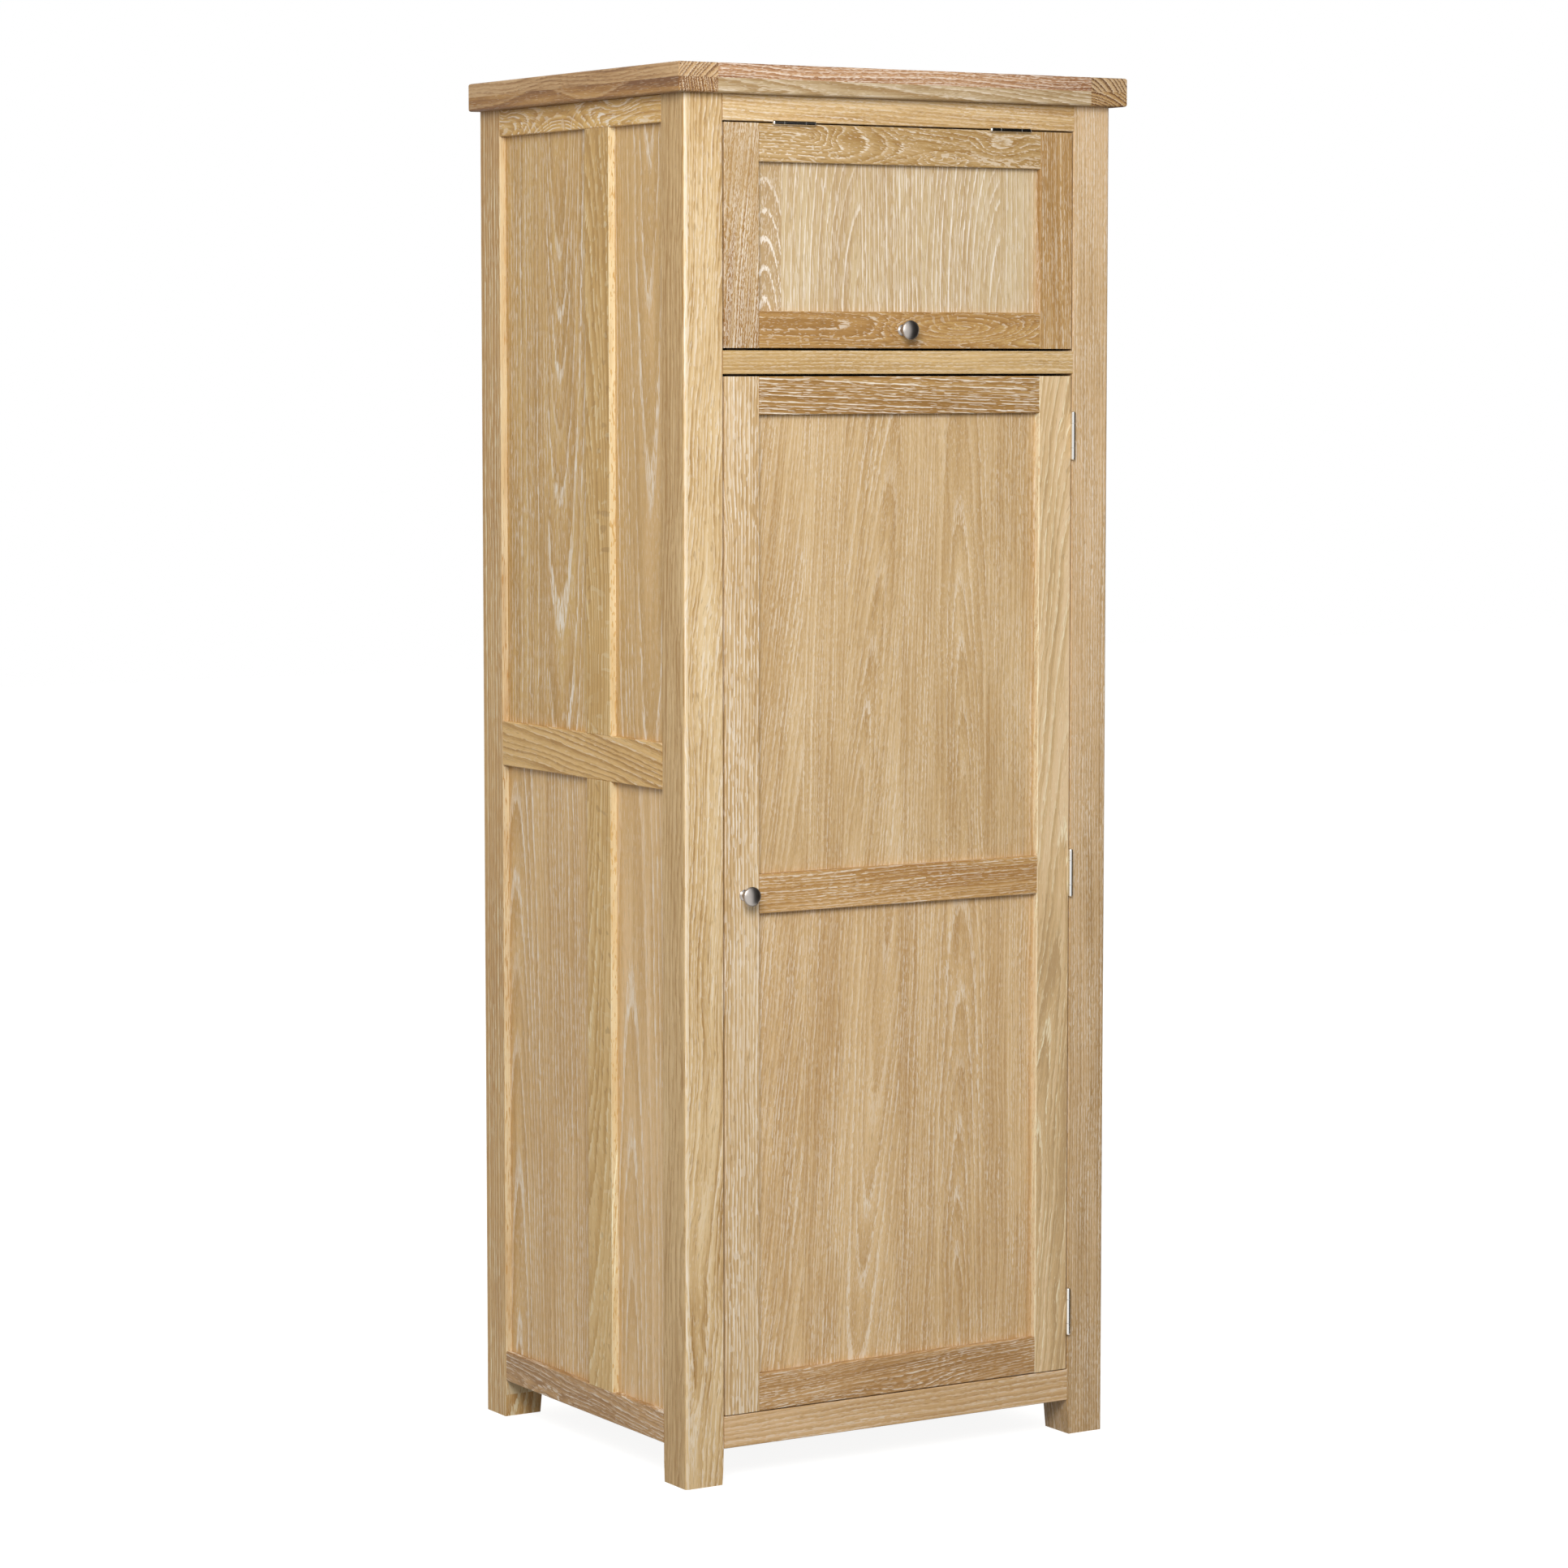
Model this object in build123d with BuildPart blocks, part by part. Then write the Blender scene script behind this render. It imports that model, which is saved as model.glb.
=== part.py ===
from build123d import *
import os
from dataclasses import dataclass

os.makedirs("parts", exist_ok=True)

# Sizes in millimetres. The cabinet stands on Z = 0, its front faces -Y, and the origin lies
# under the middle of its overall box, from the tips of the knobs to the back.

# Carcass
overall_height = 1800.0
carcass_width = 648.0
carcass_depth = 540.0
post_size = 57.0
post_round = 4.0            # outer corner of each post
post_arris = 1.5            # its other three corners
foot_taper = 3.0            # the inner faces of each foot lean in by this at the floor
frame_thickness = 22.0      # rails, stiles and muntins
arris = 0.8                 # along the edges of rails, stiles and boards
fit = 0.1                   # slack round each tongue, tenon and board

# Top, built up of two layers
top_layer = 18.5
top_overhang = 16.0         # at the front and the sides, and none at the back
top_end_width = 57.0
top_front_strip = 80.0
top_back_strip = 60.0
top_edge_round = 3.0

# Front openings, from the floor up
front_foot_height = 46.5
front_bottom_rail = 41.5
front_middle_rail = 29.5
front_top_rail = 33.0
flap_opening = 285.5
front_tenon = 20.0
front_shoulder = 5.0

# Frames with panels
panel_recess = 9.0
panel_thickness = 8.0
groove_depth = 10.0
panel_play = 1.0            # room for a panel to swell, in each groove

# Sides and back
side_foot_height = 50.0
side_bottom_rail = 40.0
side_middle_rail = 59.0
side_middle_rail_height = 891.0
side_top_rail = 34.5
side_front_panel = 132.0    # seen width of the narrower panel, next to the front post
muntin_width = 63.0

# Door and flap
stile_width = 51.0
door_side_gap = 2.0
door_top_gap = 3.0
door_bottom_gap = 1.5
door_top_rail = 48.0
door_middle_rail = 50.0
door_bottom_rail = 48.5
door_middle_rail_height = 732.0
flap_side_gap = 2.0
flap_top_gap = 2.0
flap_bottom_gap = 3.0
flap_top_rail = 48.0
flap_bottom_rail = 46.5

# Inside
board_thickness = 18.0
shelf_count = 3
shelf_setback = 8.0         # behind the inner face of the door
cleat_size = 20.0

# Butt hinges
hinge_length = 60.0
hinge_sides = 12            # knuckles and pin tips are cut as prisms, and only the pin is round
middle_knuckle = 32.0
knuckle_radius = 2.9
knuckle_gap = 0.3
pin_radius = 1.5
pin_clearance = 0.05
pin_tip = 2.0
pin_tip_radius = 1.8
pin_forward = 3.2           # from the front face out to the axis
leaf_thickness = 1.2
leaf_width = 19.0
leaf_seat = 0.6             # how deep each leaf is let into the wood
screws_per_leaf = 3
screw_spacing = 21.0
screw_head_radius = 2.6
screw_shank_radius = 1.3
screw_length = 14.0
screw_sides = 6             # the small screws and bolts are cut as prisms
door_hinge_inset = 78.0     # from the door's end to the middle of a hinge
flap_hinge_inset = 100.5

# Knobs
knob_projection = 24.0
knob_radius = 12.5
knob_base_radius = 7.2
knob_base = 1.5
knob_neck_radius = 4.6
knob_flare = 7.0            # from the neck out to the widest part
knob_rim = 4.4              # the straight band round the widest part
knob_bevel = 1.6            # round the face
knob_inset = 28.0           # from the door's edge
bolt_radius = 2.0
bolt_head_radius = 4.0
bolt_head = 2.2
bolt_grip = 9.0             # how far the bolt reaches into the knob

# Catches
catch_width = 31.0
catch_depth = 14.0
catch_height = 15.0
catch_inset = 35.0          # from the post to the middle of a catch
catch_gap = 0.3
strike_thickness = 1.5
strike_height = 10.0
strike_setback = 1.0        # from the strike to the edge of its door

# Planes worked out from those sizes
half_width = carcass_width / 2
front_y = (knob_projection - carcass_depth) / 2
back_y = front_y + carcass_depth
opening_x = half_width - post_size
post_back_y = front_y + post_size
post_front_y = back_y - post_size
inner_front_y = front_y + frame_thickness
inner_back_y = back_y - frame_thickness
inner_x = half_width - frame_thickness
carcass_height = overall_height - 2 * top_layer
flap_opening_top = carcass_height - front_top_rail
flap_opening_bottom = flap_opening_top - flap_opening
door_opening_top = flap_opening_bottom - front_middle_rail
door_opening_bottom = front_foot_height + front_bottom_rail
door_x = opening_x - door_side_gap
door_z = (door_opening_bottom + door_bottom_gap, door_opening_top - door_top_gap)
flap_x = opening_x - flap_side_gap
flap_z = (flap_opening_bottom + flap_bottom_gap, flap_opening_top - flap_top_gap)
door_rails = {
    "bottom": (door_z[0], door_z[0] + door_bottom_rail),
    "middle": (door_middle_rail_height, door_middle_rail_height + door_middle_rail),
    "top": (door_z[1] - door_top_rail, door_z[1]),
}
flap_rails = {
    "bottom": (flap_z[0], flap_z[0] + flap_bottom_rail),
    "top": (flap_z[1] - flap_top_rail, flap_z[1]),
}
side_rails = {
    "bottom": (side_foot_height, side_foot_height + side_bottom_rail),
    "middle": (side_middle_rail_height, side_middle_rail_height + side_middle_rail),
    "top": (carcass_height - side_top_rail, carcass_height),
}
front_rails = {
    "bottom": (front_foot_height, door_opening_bottom),
    "middle": (door_opening_top, flap_opening_bottom),
    "top": (flap_opening_top, carcass_height),
}
side_run = (post_back_y, post_front_y)
muntin_run = (post_back_y + side_front_panel, post_back_y + side_front_panel + muntin_width)

# Depths behind the outer face of a frame
whole = (0, frame_thickness)
groove = (panel_recess, panel_recess + panel_thickness)
tongue = (panel_recess + fit, panel_recess + panel_thickness - fit)


def middle(pair):
    return (pair[0] + pair[1]) / 2


def keep(name, piece):
    """Name a finished piece and write it to its own file."""
    piece.label = name
    export_step(piece, f"parts/{name}.step")


def block(x, y, z, mode=Mode.ADD):
    """Add or cut a square-edged block between three pairs of planes."""
    x, y, z = sorted(x), sorted(y), sorted(z)
    with BuildSketch(Plane.XY.offset(z[0])) as outline:
        with Locations((middle(x), middle(y))):
            Rectangle(x[1] - x[0], y[1] - y[0])
    extrude(outline.sketch, amount=z[1] - z[0], mode=mode)


def timber(x, y, z, grain):
    """A planed board with an arris taken off its four long edges."""
    block(x, y, z)
    chamfer(edges().filter_by(grain), arris)


@dataclass
class Frame:
    """One face of the cabinet: the way its rails run, its outer face and the way in from there."""

    rail_axis: Axis
    outer_face: float
    inward: int

    def place(self, run, z, depth):
        """Turn a run along the rails and two depths behind the face into X, Y and Z pairs."""
        across = [self.outer_face + self.inward * step for step in depth]
        return (run, across, z) if self.rail_axis == Axis.X else (across, run, z)

    def slab(self, run, z, depth, mode=Mode.ADD):
        block(*self.place(run, z, depth), mode)

    def rail(self, run, z, panels=(False, False), tenon=groove_depth, shoulder=0.0):
        """A rail, grooved below or above for its panels, with a stub tenon at each end."""
        foot, head = (groove_depth if grooved else shoulder for grooved in panels)
        with BuildPart() as piece:
            timber(*self.place(run, z, whole), self.rail_axis)
            if panels[0]:
                self.slab(run, (z[0], z[0] + groove_depth), groove, Mode.SUBTRACT)
            if panels[1]:
                self.slab(run, (z[1] - groove_depth, z[1]), groove, Mode.SUBTRACT)
            self.slab((run[0] - tenon, run[0]), (z[0] + foot, z[1] - head), tongue)
            self.slab((run[1], run[1] + tenon), (z[0] + foot, z[1] - head), tongue)
        return piece.part

    def stile(self, outer, inner, z):
        """An upright, grooved all along its inner edge for the rails and panels."""
        inward = 1 if inner > outer else -1
        with BuildPart() as piece:
            timber(*self.place((outer, inner), z, whole), Axis.Z)
            self.slab((inner, inner - inward * groove_depth), z, groove, Mode.SUBTRACT)
        return piece.part

    def muntin(self, run, z):
        """An upright between two rails, grooved along both edges and tongued at both ends."""
        with BuildPart() as piece:
            timber(*self.place(run, z, whole), Axis.Z)
            for edge, step in ((run[0], groove_depth), (run[1], -groove_depth)):
                self.slab((edge, edge + step), z, groove, Mode.SUBTRACT)
            core = (run[0] + groove_depth, run[1] - groove_depth)
            self.slab(core, (z[0] - groove_depth, z[0]), tongue)
            self.slab(core, (z[1], z[1] + groove_depth), tongue)
        return piece.part

    def panel(self, run, z):
        """A flat panel that fills an opening and reaches into the grooves round it."""
        reach = groove_depth - panel_play
        with BuildPart() as piece:
            self.slab((run[0] - reach, run[1] + reach), (z[0] - reach, z[1] + reach), tongue)
        return piece.part


front = Frame(Axis.X, front_y, 1)
back = Frame(Axis.X, back_y, -1)
sides = {"left": Frame(Axis.Y, -half_width, 1), "right": Frame(Axis.Y, half_width, -1)}
signs = {"left": -1, "right": 1}


# Screws, hinge leaves and pins

def hinge_plane(centre, own_side):
    """The plane square to a hinge's pin: x points into the leaf's own wood and y to the back."""
    return Plane(origin=centre, x_dir=own_side, z_dir=Vector(own_side).cross(Vector(0, 1, 0)))


def leaf_face(gap):
    """How far the showing face of a leaf lies from the plane through the middle of its gap."""
    return gap / 2 + leaf_seat - leaf_thickness


def screw(place, slack=0.0, mode=Mode.ADD):
    """A countersunk screw that points along the place's normal, its head flush at the origin."""
    with BuildSketch(place) as head:
        RegularPolygon(screw_head_radius + slack, screw_sides)
    with BuildSketch(place.offset(leaf_thickness)) as shank:
        RegularPolygon(screw_shank_radius + slack, screw_sides)
    loft([head.sketch, shank.sketch], ruled=True, mode=mode)
    extrude(shank.sketch, amount=screw_length - leaf_thickness + slack, mode=mode)


def screw_places(centre, own_side, gap):
    """Where the screws of one leaf start, each plane facing into the wood."""
    across = hinge_plane(centre, own_side)
    places = []
    for row in range(screws_per_leaf):
        along = (row - (screws_per_leaf - 1) / 2) * screw_spacing
        start = across.from_local_coords((leaf_face(gap), pin_forward + leaf_width / 2, along))
        places.append(Plane(origin=start, x_dir=across.z_dir, z_dir=across.x_dir))
    return places


def leaf_seat_cut(centre, own_side, gap):
    """Let a leaf into the wood and drill for its screws."""
    across = hinge_plane(centre, own_side)
    with BuildSketch(across.offset(-hinge_length / 2)) as seat:
        with Locations((gap / 2 + leaf_seat / 2, pin_forward + leaf_width / 2)):
            Rectangle(leaf_seat, leaf_width)
    extrude(seat.sketch, amount=hinge_length, mode=Mode.SUBTRACT)
    for place in screw_places(centre, own_side, gap):
        screw(place, fit, Mode.SUBTRACT)


def hinge_leaf(centre, own_side, gap, knuckles):
    """A flat leaf with knuckles rolled round the pin over the given lengths."""
    across = hinge_plane(centre, own_side)
    leaf_middle = leaf_face(gap) + leaf_thickness / 2
    with BuildSketch(across.offset(-hinge_length / 2)) as plate:
        with Locations((leaf_middle, pin_forward + leaf_width / 2)):
            Rectangle(leaf_thickness, leaf_width)
    extrude(plate.sketch, amount=hinge_length)
    for start, end in knuckles:
        with BuildSketch(across.offset(start)) as knuckle:
            RegularPolygon(knuckle_radius, hinge_sides)
            with Locations((leaf_middle, pin_forward / 2)):
                Rectangle(leaf_thickness, pin_forward)
            RegularPolygon(pin_radius + pin_clearance, hinge_sides, major_radius=False, mode=Mode.SUBTRACT)
        extrude(knuckle.sketch, amount=end - start)
    for place in screw_places(centre, own_side, gap):
        screw(place, fit, Mode.SUBTRACT)


def hinge_pin(centre, own_side):
    """A round pin with a tapered tip over the end of each outer knuckle."""
    across = hinge_plane(centre, own_side)
    half = hinge_length / 2
    with BuildSketch(across.offset(-half)) as shank:
        Circle(pin_radius)
    extrude(shank.sketch, amount=hinge_length)
    for seat, end in ((half, half + pin_tip), (-half, -half - pin_tip)):
        with BuildSketch(across.offset(seat)) as wide:
            RegularPolygon(knuckle_radius, hinge_sides)
        with BuildSketch(across.offset(end)) as narrow:
            RegularPolygon(pin_tip_radius, hinge_sides)
        loft([wide.sketch, narrow.sketch], ruled=True)


outer_knuckles = (
    (-hinge_length / 2, -middle_knuckle / 2 - knuckle_gap / 2),
    (middle_knuckle / 2 + knuckle_gap / 2, hinge_length / 2),
)
inner_knuckle = ((-middle_knuckle / 2 + knuckle_gap / 2, middle_knuckle / 2 - knuckle_gap / 2),)

pin_y = front_y - pin_forward
door_pin_x = opening_x - door_side_gap / 2
flap_pin_z = flap_opening_top - flap_top_gap / 2
door_hinges = [
    (door_pin_x, pin_y, height)
    for height in (door_z[0] + door_hinge_inset, middle(door_rails["middle"]), door_z[1] - door_hinge_inset)
]
flap_hinges = [(sign * (flap_x - flap_hinge_inset), pin_y, flap_pin_z) for sign in (-1, 1)]
to_post = (1, 0, 0)
to_door = (-1, 0, 0)
to_rail = (0, 0, 1)
to_flap = (0, 0, -1)

hinge_sets = {
    "door": (door_hinges, to_post, to_door, door_side_gap),
    "flap": (flap_hinges, to_rail, to_flap, flap_top_gap),
}
for name, (centres, fixed_side, moving_side, gap) in hinge_sets.items():
    with BuildPart() as fixed_leaves:
        for centre in centres:
            hinge_leaf(centre, fixed_side, gap, outer_knuckles)
    keep(f"{name}_hinge_frame_leaves", fixed_leaves.part)

    with BuildPart() as moving_leaves:
        for centre in centres:
            hinge_leaf(centre, moving_side, gap, inner_knuckle)
    keep(f"{name}_hinge_moving_leaves", moving_leaves.part)

    with BuildPart() as pins:
        for centre in centres:
            hinge_pin(centre, fixed_side)
    keep(f"{name}_hinge_pins", pins.part)

with BuildPart() as frame_hinge_screws:
    for centres, fixed_side, moving_side, gap in hinge_sets.values():
        for centre in centres:
            for place in screw_places(centre, fixed_side, gap):
                screw(place)
keep("frame_hinge_screws", frame_hinge_screws.part)


# Knobs, each held by a bolt from inside

door_knob_at = (-door_x + knob_inset, front_y, middle(door_rails["middle"]))
flap_knob_at = (0, front_y, middle(flap_rails["bottom"]))


def knob(at):
    """A mushroom knob turned about the line that points out of the front: foot, neck, flare and rim."""
    face_edge = knob_projection - knob_bevel
    widest = face_edge - knob_rim
    outline = [
        (0, 0),
        (knob_base_radius, 0),
        (knob_base_radius, knob_base),
        (knob_neck_radius, knob_base),
        (knob_neck_radius, widest - knob_flare),
        (knob_radius, widest),
        (knob_radius, face_edge),
        (knob_radius - knob_bevel, knob_projection),
        (0, knob_projection),
    ]
    with BuildPart() as piece:
        with BuildSketch(Plane(origin=at, x_dir=(1, 0, 0), z_dir=(0, 0, -1))) as profile:
            with BuildLine():
                Polyline(*outline, close=True)
            make_face()
        revolve(profile.sketch, axis=Axis(at, (0, 1, 0)))
        with BuildSketch(Plane(origin=at, x_dir=(1, 0, 0), z_dir=(0, -1, 0))) as socket:
            RegularPolygon(bolt_radius + fit, screw_sides)
        extrude(socket.sketch, amount=bolt_grip + fit, mode=Mode.SUBTRACT)
    return piece.part


def bolt_hole(at):
    """Drill right through a stile or rail for a knob's bolt."""
    with BuildSketch(Plane(origin=at, x_dir=(1, 0, 0), z_dir=(0, -1, 0))) as hole:
        RegularPolygon(bolt_radius + fit, screw_sides)
    extrude(hole.sketch, amount=-frame_thickness, mode=Mode.SUBTRACT)


def bolt(at):
    """A knob's bolt, its head on the inner face of the door or flap."""
    inside = Plane(origin=at, x_dir=(1, 0, 0), z_dir=(0, -1, 0)).offset(-frame_thickness)
    with BuildSketch(inside) as shank:
        RegularPolygon(bolt_radius, screw_sides)
    extrude(shank.sketch, amount=frame_thickness + bolt_grip)
    with BuildSketch(inside) as head:
        RegularPolygon(bolt_head_radius, screw_sides)
    extrude(head.sketch, amount=-bolt_head)


keep("door_knob", knob(door_knob_at))
keep("flap_knob", knob(flap_knob_at))

for name, knob_at in (("door", door_knob_at), ("flap", flap_knob_at)):
    centres, fixed_side, moving_side, gap = hinge_sets[name]
    with BuildPart() as screws:
        for centre in centres:
            for place in screw_places(centre, moving_side, gap):
                screw(place)
        bolt(knob_at)
    keep(f"{name}_screws", screws.part)


# Posts

def taper(plane, edge, outward, rise):
    """Plane the inner face of a foot back towards the floor."""
    with BuildSketch(plane) as wedge:
        with BuildLine():
            Polyline((edge, rise), (edge, 0), (edge + outward * foot_taper, 0), close=True)
        make_face()
    extrude(wedge.sketch, amount=overall_height, both=True, mode=Mode.SUBTRACT)


for side, sign in signs.items():
    for end, outer_y, inner_y in (("front", front_y, post_back_y), ("back", back_y, post_front_y)):
        outer_x = sign * half_width
        post_inner_x = sign * opening_x
        to_outside = 1 if outer_y > inner_y else -1
        with BuildPart() as post:
            block((outer_x, post_inner_x), (outer_y, inner_y), (0, carcass_height))
            corners = edges().filter_by(Axis.Z).sort_by_distance((outer_x, outer_y, 0))
            chamfer(corners[1:], post_arris)
            fillet(edges().filter_by(Axis.Z).sort_by_distance((outer_x, outer_y, 0))[0], post_round)
            taper(Plane.XZ, post_inner_x, sign, front_foot_height)
            taper(Plane.YZ, inner_y, to_outside, side_foot_height)
            side_groove = (inner_y, inner_y + to_outside * groove_depth)
            sides[side].slab(side_groove, (side_foot_height, carcass_height), groove, Mode.SUBTRACT)
            if end == "back":
                back_groove = (post_inner_x, post_inner_x + sign * groove_depth)
                back.slab(back_groove, (side_foot_height, carcass_height), groove, Mode.SUBTRACT)
            else:
                for low, high in front_rails.values():
                    mortise = (post_inner_x, post_inner_x + sign * (front_tenon + fit))
                    front.slab(mortise, (low + front_shoulder, high - front_shoulder), groove, Mode.SUBTRACT)
            if end == "front" and side == "right":
                for centre in door_hinges:
                    leaf_seat_cut(centre, to_post, door_side_gap)
        keep(f"{end}_{side}_post", post.part)


# Front rails

for name, z in front_rails.items():
    with BuildPart() as front_rail:
        add(front.rail((-opening_x, opening_x), z, tenon=front_tenon, shoulder=front_shoulder))
        if name == "top":
            for centre in flap_hinges:
                leaf_seat_cut(centre, to_rail, flap_top_gap)
    keep(f"front_{name}_rail", front_rail.part)


# Side frames: the narrower panels stand next to the front posts

grooves = {"bottom": (False, True), "middle": (True, True), "top": (True, False)}
panel_runs = {"front": (post_back_y, muntin_run[0]), "back": (muntin_run[1], post_front_y)}
panel_heights = {
    "lower": (side_rails["bottom"][1], side_rails["middle"][0]),
    "upper": (side_rails["middle"][1], side_rails["top"][0]),
}
for side, frame in sides.items():
    for name, z in side_rails.items():
        keep(f"{side}_side_{name}_rail", frame.rail(side_run, z, grooves[name]))
    with BuildPart() as muntins:
        for z in panel_heights.values():
            add(frame.muntin(muntin_run, z))
    keep(f"{side}_side_muntins", muntins.part)

for level, z in panel_heights.items():
    for end, run in panel_runs.items():
        keep(f"left_side_{level}_{end}_panel", sides["left"].panel(run, z))

with BuildPart() as right_side_panels:
    for z in panel_heights.values():
        for run in panel_runs.values():
            add(sides["right"].panel(run, z))
keep("right_side_panels", right_side_panels.part)


# Back frame

back_run = (-opening_x, opening_x)
for name in ("bottom", "top"):
    keep(f"back_{name}_rail", back.rail(back_run, side_rails[name], grooves[name]))
keep("back_panel", back.panel(back_run, (side_rails["bottom"][1], side_rails["top"][0])))


# Boards inside, notched round the posts and carried on cleats

def notched_board(front_edge, top):
    """A board between the side frames, cut round all four posts, its upper face at the given height."""
    z = (top - board_thickness, top)
    with BuildPart() as board:
        timber((fit - inner_x, inner_x - fit), (front_edge, inner_back_y - fit), z, Axis.X)
        for sign in signs.values():
            beside_post = (sign * (opening_x - fit), sign * half_width)
            block(beside_post, (front_y, post_back_y + fit), z, Mode.SUBTRACT)
            block(beside_post, (post_front_y - fit, back_y), z, Mode.SUBTRACT)
    return board.part


shelf_space = flap_opening_bottom - board_thickness - door_opening_bottom
shelf_pitch = (shelf_space + board_thickness) / (shelf_count + 1)
shelf_tops = [door_opening_bottom + step * shelf_pitch for step in range(1, shelf_count + 1)]
board_tops = [door_opening_bottom, flap_opening_bottom, *shelf_tops]

keep("base_board", notched_board(inner_front_y + fit, door_opening_bottom))
keep("divider_board", notched_board(inner_front_y + fit, flap_opening_bottom))

with BuildPart() as shelves:
    for top in shelf_tops:
        add(notched_board(inner_front_y + shelf_setback, top))
keep("shelves", shelves.part)

with BuildPart() as shelf_cleats:
    for top in board_tops:
        under = top - board_thickness
        for sign in signs.values():
            block((sign * inner_x, sign * (inner_x - cleat_size)), side_run, (under - cleat_size, under))
keep("shelf_cleats", shelf_cleats.part)


# Top

top_x = half_width + top_overhang
top_inner_x = top_x - top_end_width
top_y = (front_y - top_overhang, back_y)
lower_z = (carcass_height, carcass_height + top_layer)
upper_z = (carcass_height + top_layer, overall_height)


def top_end(sign, z, shown_z):
    """An end board of one layer, its three outer edges at the given height rounded over."""
    with BuildPart() as board:
        block((sign * top_x, sign * top_inner_x), top_y, z)
        rim = edges().filter_by(lambda edge: abs(edge.center().Z - shown_z) < fit)
        inner_edge = rim.filter_by(Axis.Y).sort_by_distance((0, 0, shown_z))[0]
        fillet(rim - [inner_edge], top_edge_round)
    return board.part


def top_strip(y, z, shown_z, shown_ys):
    """A board of one layer between the end boards, with its showing long edges rounded over."""
    with BuildPart() as board:
        block((-top_inner_x, top_inner_x), y, z)
        for shown_y in shown_ys:
            fillet(edges().filter_by(Axis.X).sort_by_distance((0, shown_y, shown_z))[0], top_edge_round)
    return board.part


keep("top_board", top_strip(top_y, upper_z, upper_z[1], top_y))
keep("top_under_front", top_strip((top_y[0], top_y[0] + top_front_strip), lower_z, lower_z[0], top_y[:1]))
keep("top_under_back", top_strip((top_y[1] - top_back_strip, top_y[1]), lower_z, lower_z[0], top_y[1:]))
for side, sign in signs.items():
    keep(f"top_end_{side}", top_end(sign, upper_z, upper_z[1]))
    keep(f"top_under_{side}", top_end(sign, lower_z, lower_z[0]))


# Catches and strikes

catch_x = -opening_x + catch_inset
catch_span = (catch_x - catch_width / 2, catch_x + catch_width / 2)
strike_y = (inner_front_y, inner_front_y + strike_thickness)
catch_y = (strike_y[1] + catch_gap, strike_y[1] + catch_gap + catch_depth)
strikes = {
    "flap": (flap_z[0] + strike_setback, flap_z[0] + strike_setback + strike_height),
    "door": (door_z[1] - strike_setback - strike_height, door_z[1] - strike_setback),
}

with BuildPart() as catches:
    block(catch_span, catch_y, (flap_opening_bottom, flap_opening_bottom + catch_height))
    block(catch_span, catch_y, (flap_opening_bottom - board_thickness, strikes["door"][0]))
keep("catches", catches.part)

for name, z in strikes.items():
    with BuildPart() as strike:
        block(catch_span, strike_y, z)
    keep(f"{name}_strike", strike.part)


# Flap and door

for side, sign in signs.items():
    with BuildPart() as door_stile:
        add(front.stile(sign * door_x, sign * (door_x - stile_width), door_z))
        if side == "right":
            for centre in door_hinges:
                leaf_seat_cut(centre, to_door, door_side_gap)
        else:
            bolt_hole(door_knob_at)
    keep(f"door_{side}_stile", door_stile.part)
    keep(f"flap_{side}_stile", front.stile(sign * flap_x, sign * (flap_x - stile_width), flap_z))

door_run = (stile_width - door_x, door_x - stile_width)
for name, z in door_rails.items():
    keep(f"door_{name}_rail", front.rail(door_run, z, grooves[name]))
keep("door_upper_panel", front.panel(door_run, (door_rails["middle"][1], door_rails["top"][0])))
keep("door_lower_panel", front.panel(door_run, (door_rails["bottom"][1], door_rails["middle"][0])))

flap_run = (stile_width - flap_x, flap_x - stile_width)
for name, z in flap_rails.items():
    with BuildPart() as flap_rail:
        add(front.rail(flap_run, z, grooves[name]))
        if name == "top":
            for centre in flap_hinges:
                leaf_seat_cut(centre, to_flap, flap_top_gap)
        else:
            bolt_hole(flap_knob_at)
    keep(f"flap_{name}_rail", flap_rail.part)
keep("flap_panel", front.panel(flap_run, (flap_rails["bottom"][1], flap_rails["top"][0])))
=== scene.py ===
import bpy
import bmesh
import math
import numpy as np
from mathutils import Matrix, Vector


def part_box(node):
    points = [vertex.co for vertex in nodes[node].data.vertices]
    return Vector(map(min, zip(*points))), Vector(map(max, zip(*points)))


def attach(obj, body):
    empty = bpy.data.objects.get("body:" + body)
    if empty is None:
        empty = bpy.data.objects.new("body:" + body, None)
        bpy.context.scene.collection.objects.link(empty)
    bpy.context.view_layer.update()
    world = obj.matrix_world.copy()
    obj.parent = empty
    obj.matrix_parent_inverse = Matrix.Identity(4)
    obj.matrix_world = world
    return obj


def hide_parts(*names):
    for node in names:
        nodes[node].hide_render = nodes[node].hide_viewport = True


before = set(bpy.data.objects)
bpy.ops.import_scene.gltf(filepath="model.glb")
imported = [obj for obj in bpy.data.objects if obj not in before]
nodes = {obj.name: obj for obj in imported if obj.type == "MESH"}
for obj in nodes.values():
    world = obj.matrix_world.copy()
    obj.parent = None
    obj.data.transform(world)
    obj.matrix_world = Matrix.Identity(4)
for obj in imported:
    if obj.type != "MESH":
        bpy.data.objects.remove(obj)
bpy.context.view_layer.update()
scene = bpy.context.scene
print("frame loaded:", len(nodes), "nodes")

mm = 0.001


# Camera: stands off the left front corner at chest height, with a long lens

cameraSetup = {
    "place": (-3.2224, -5.2072, 1.4235),
    "turn": 31.60,      # degrees to the right of straight at the front
    "dip": 5.19,        # degrees below level
    "lens": 105.35,
    "sensor": 36.0,
}

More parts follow.
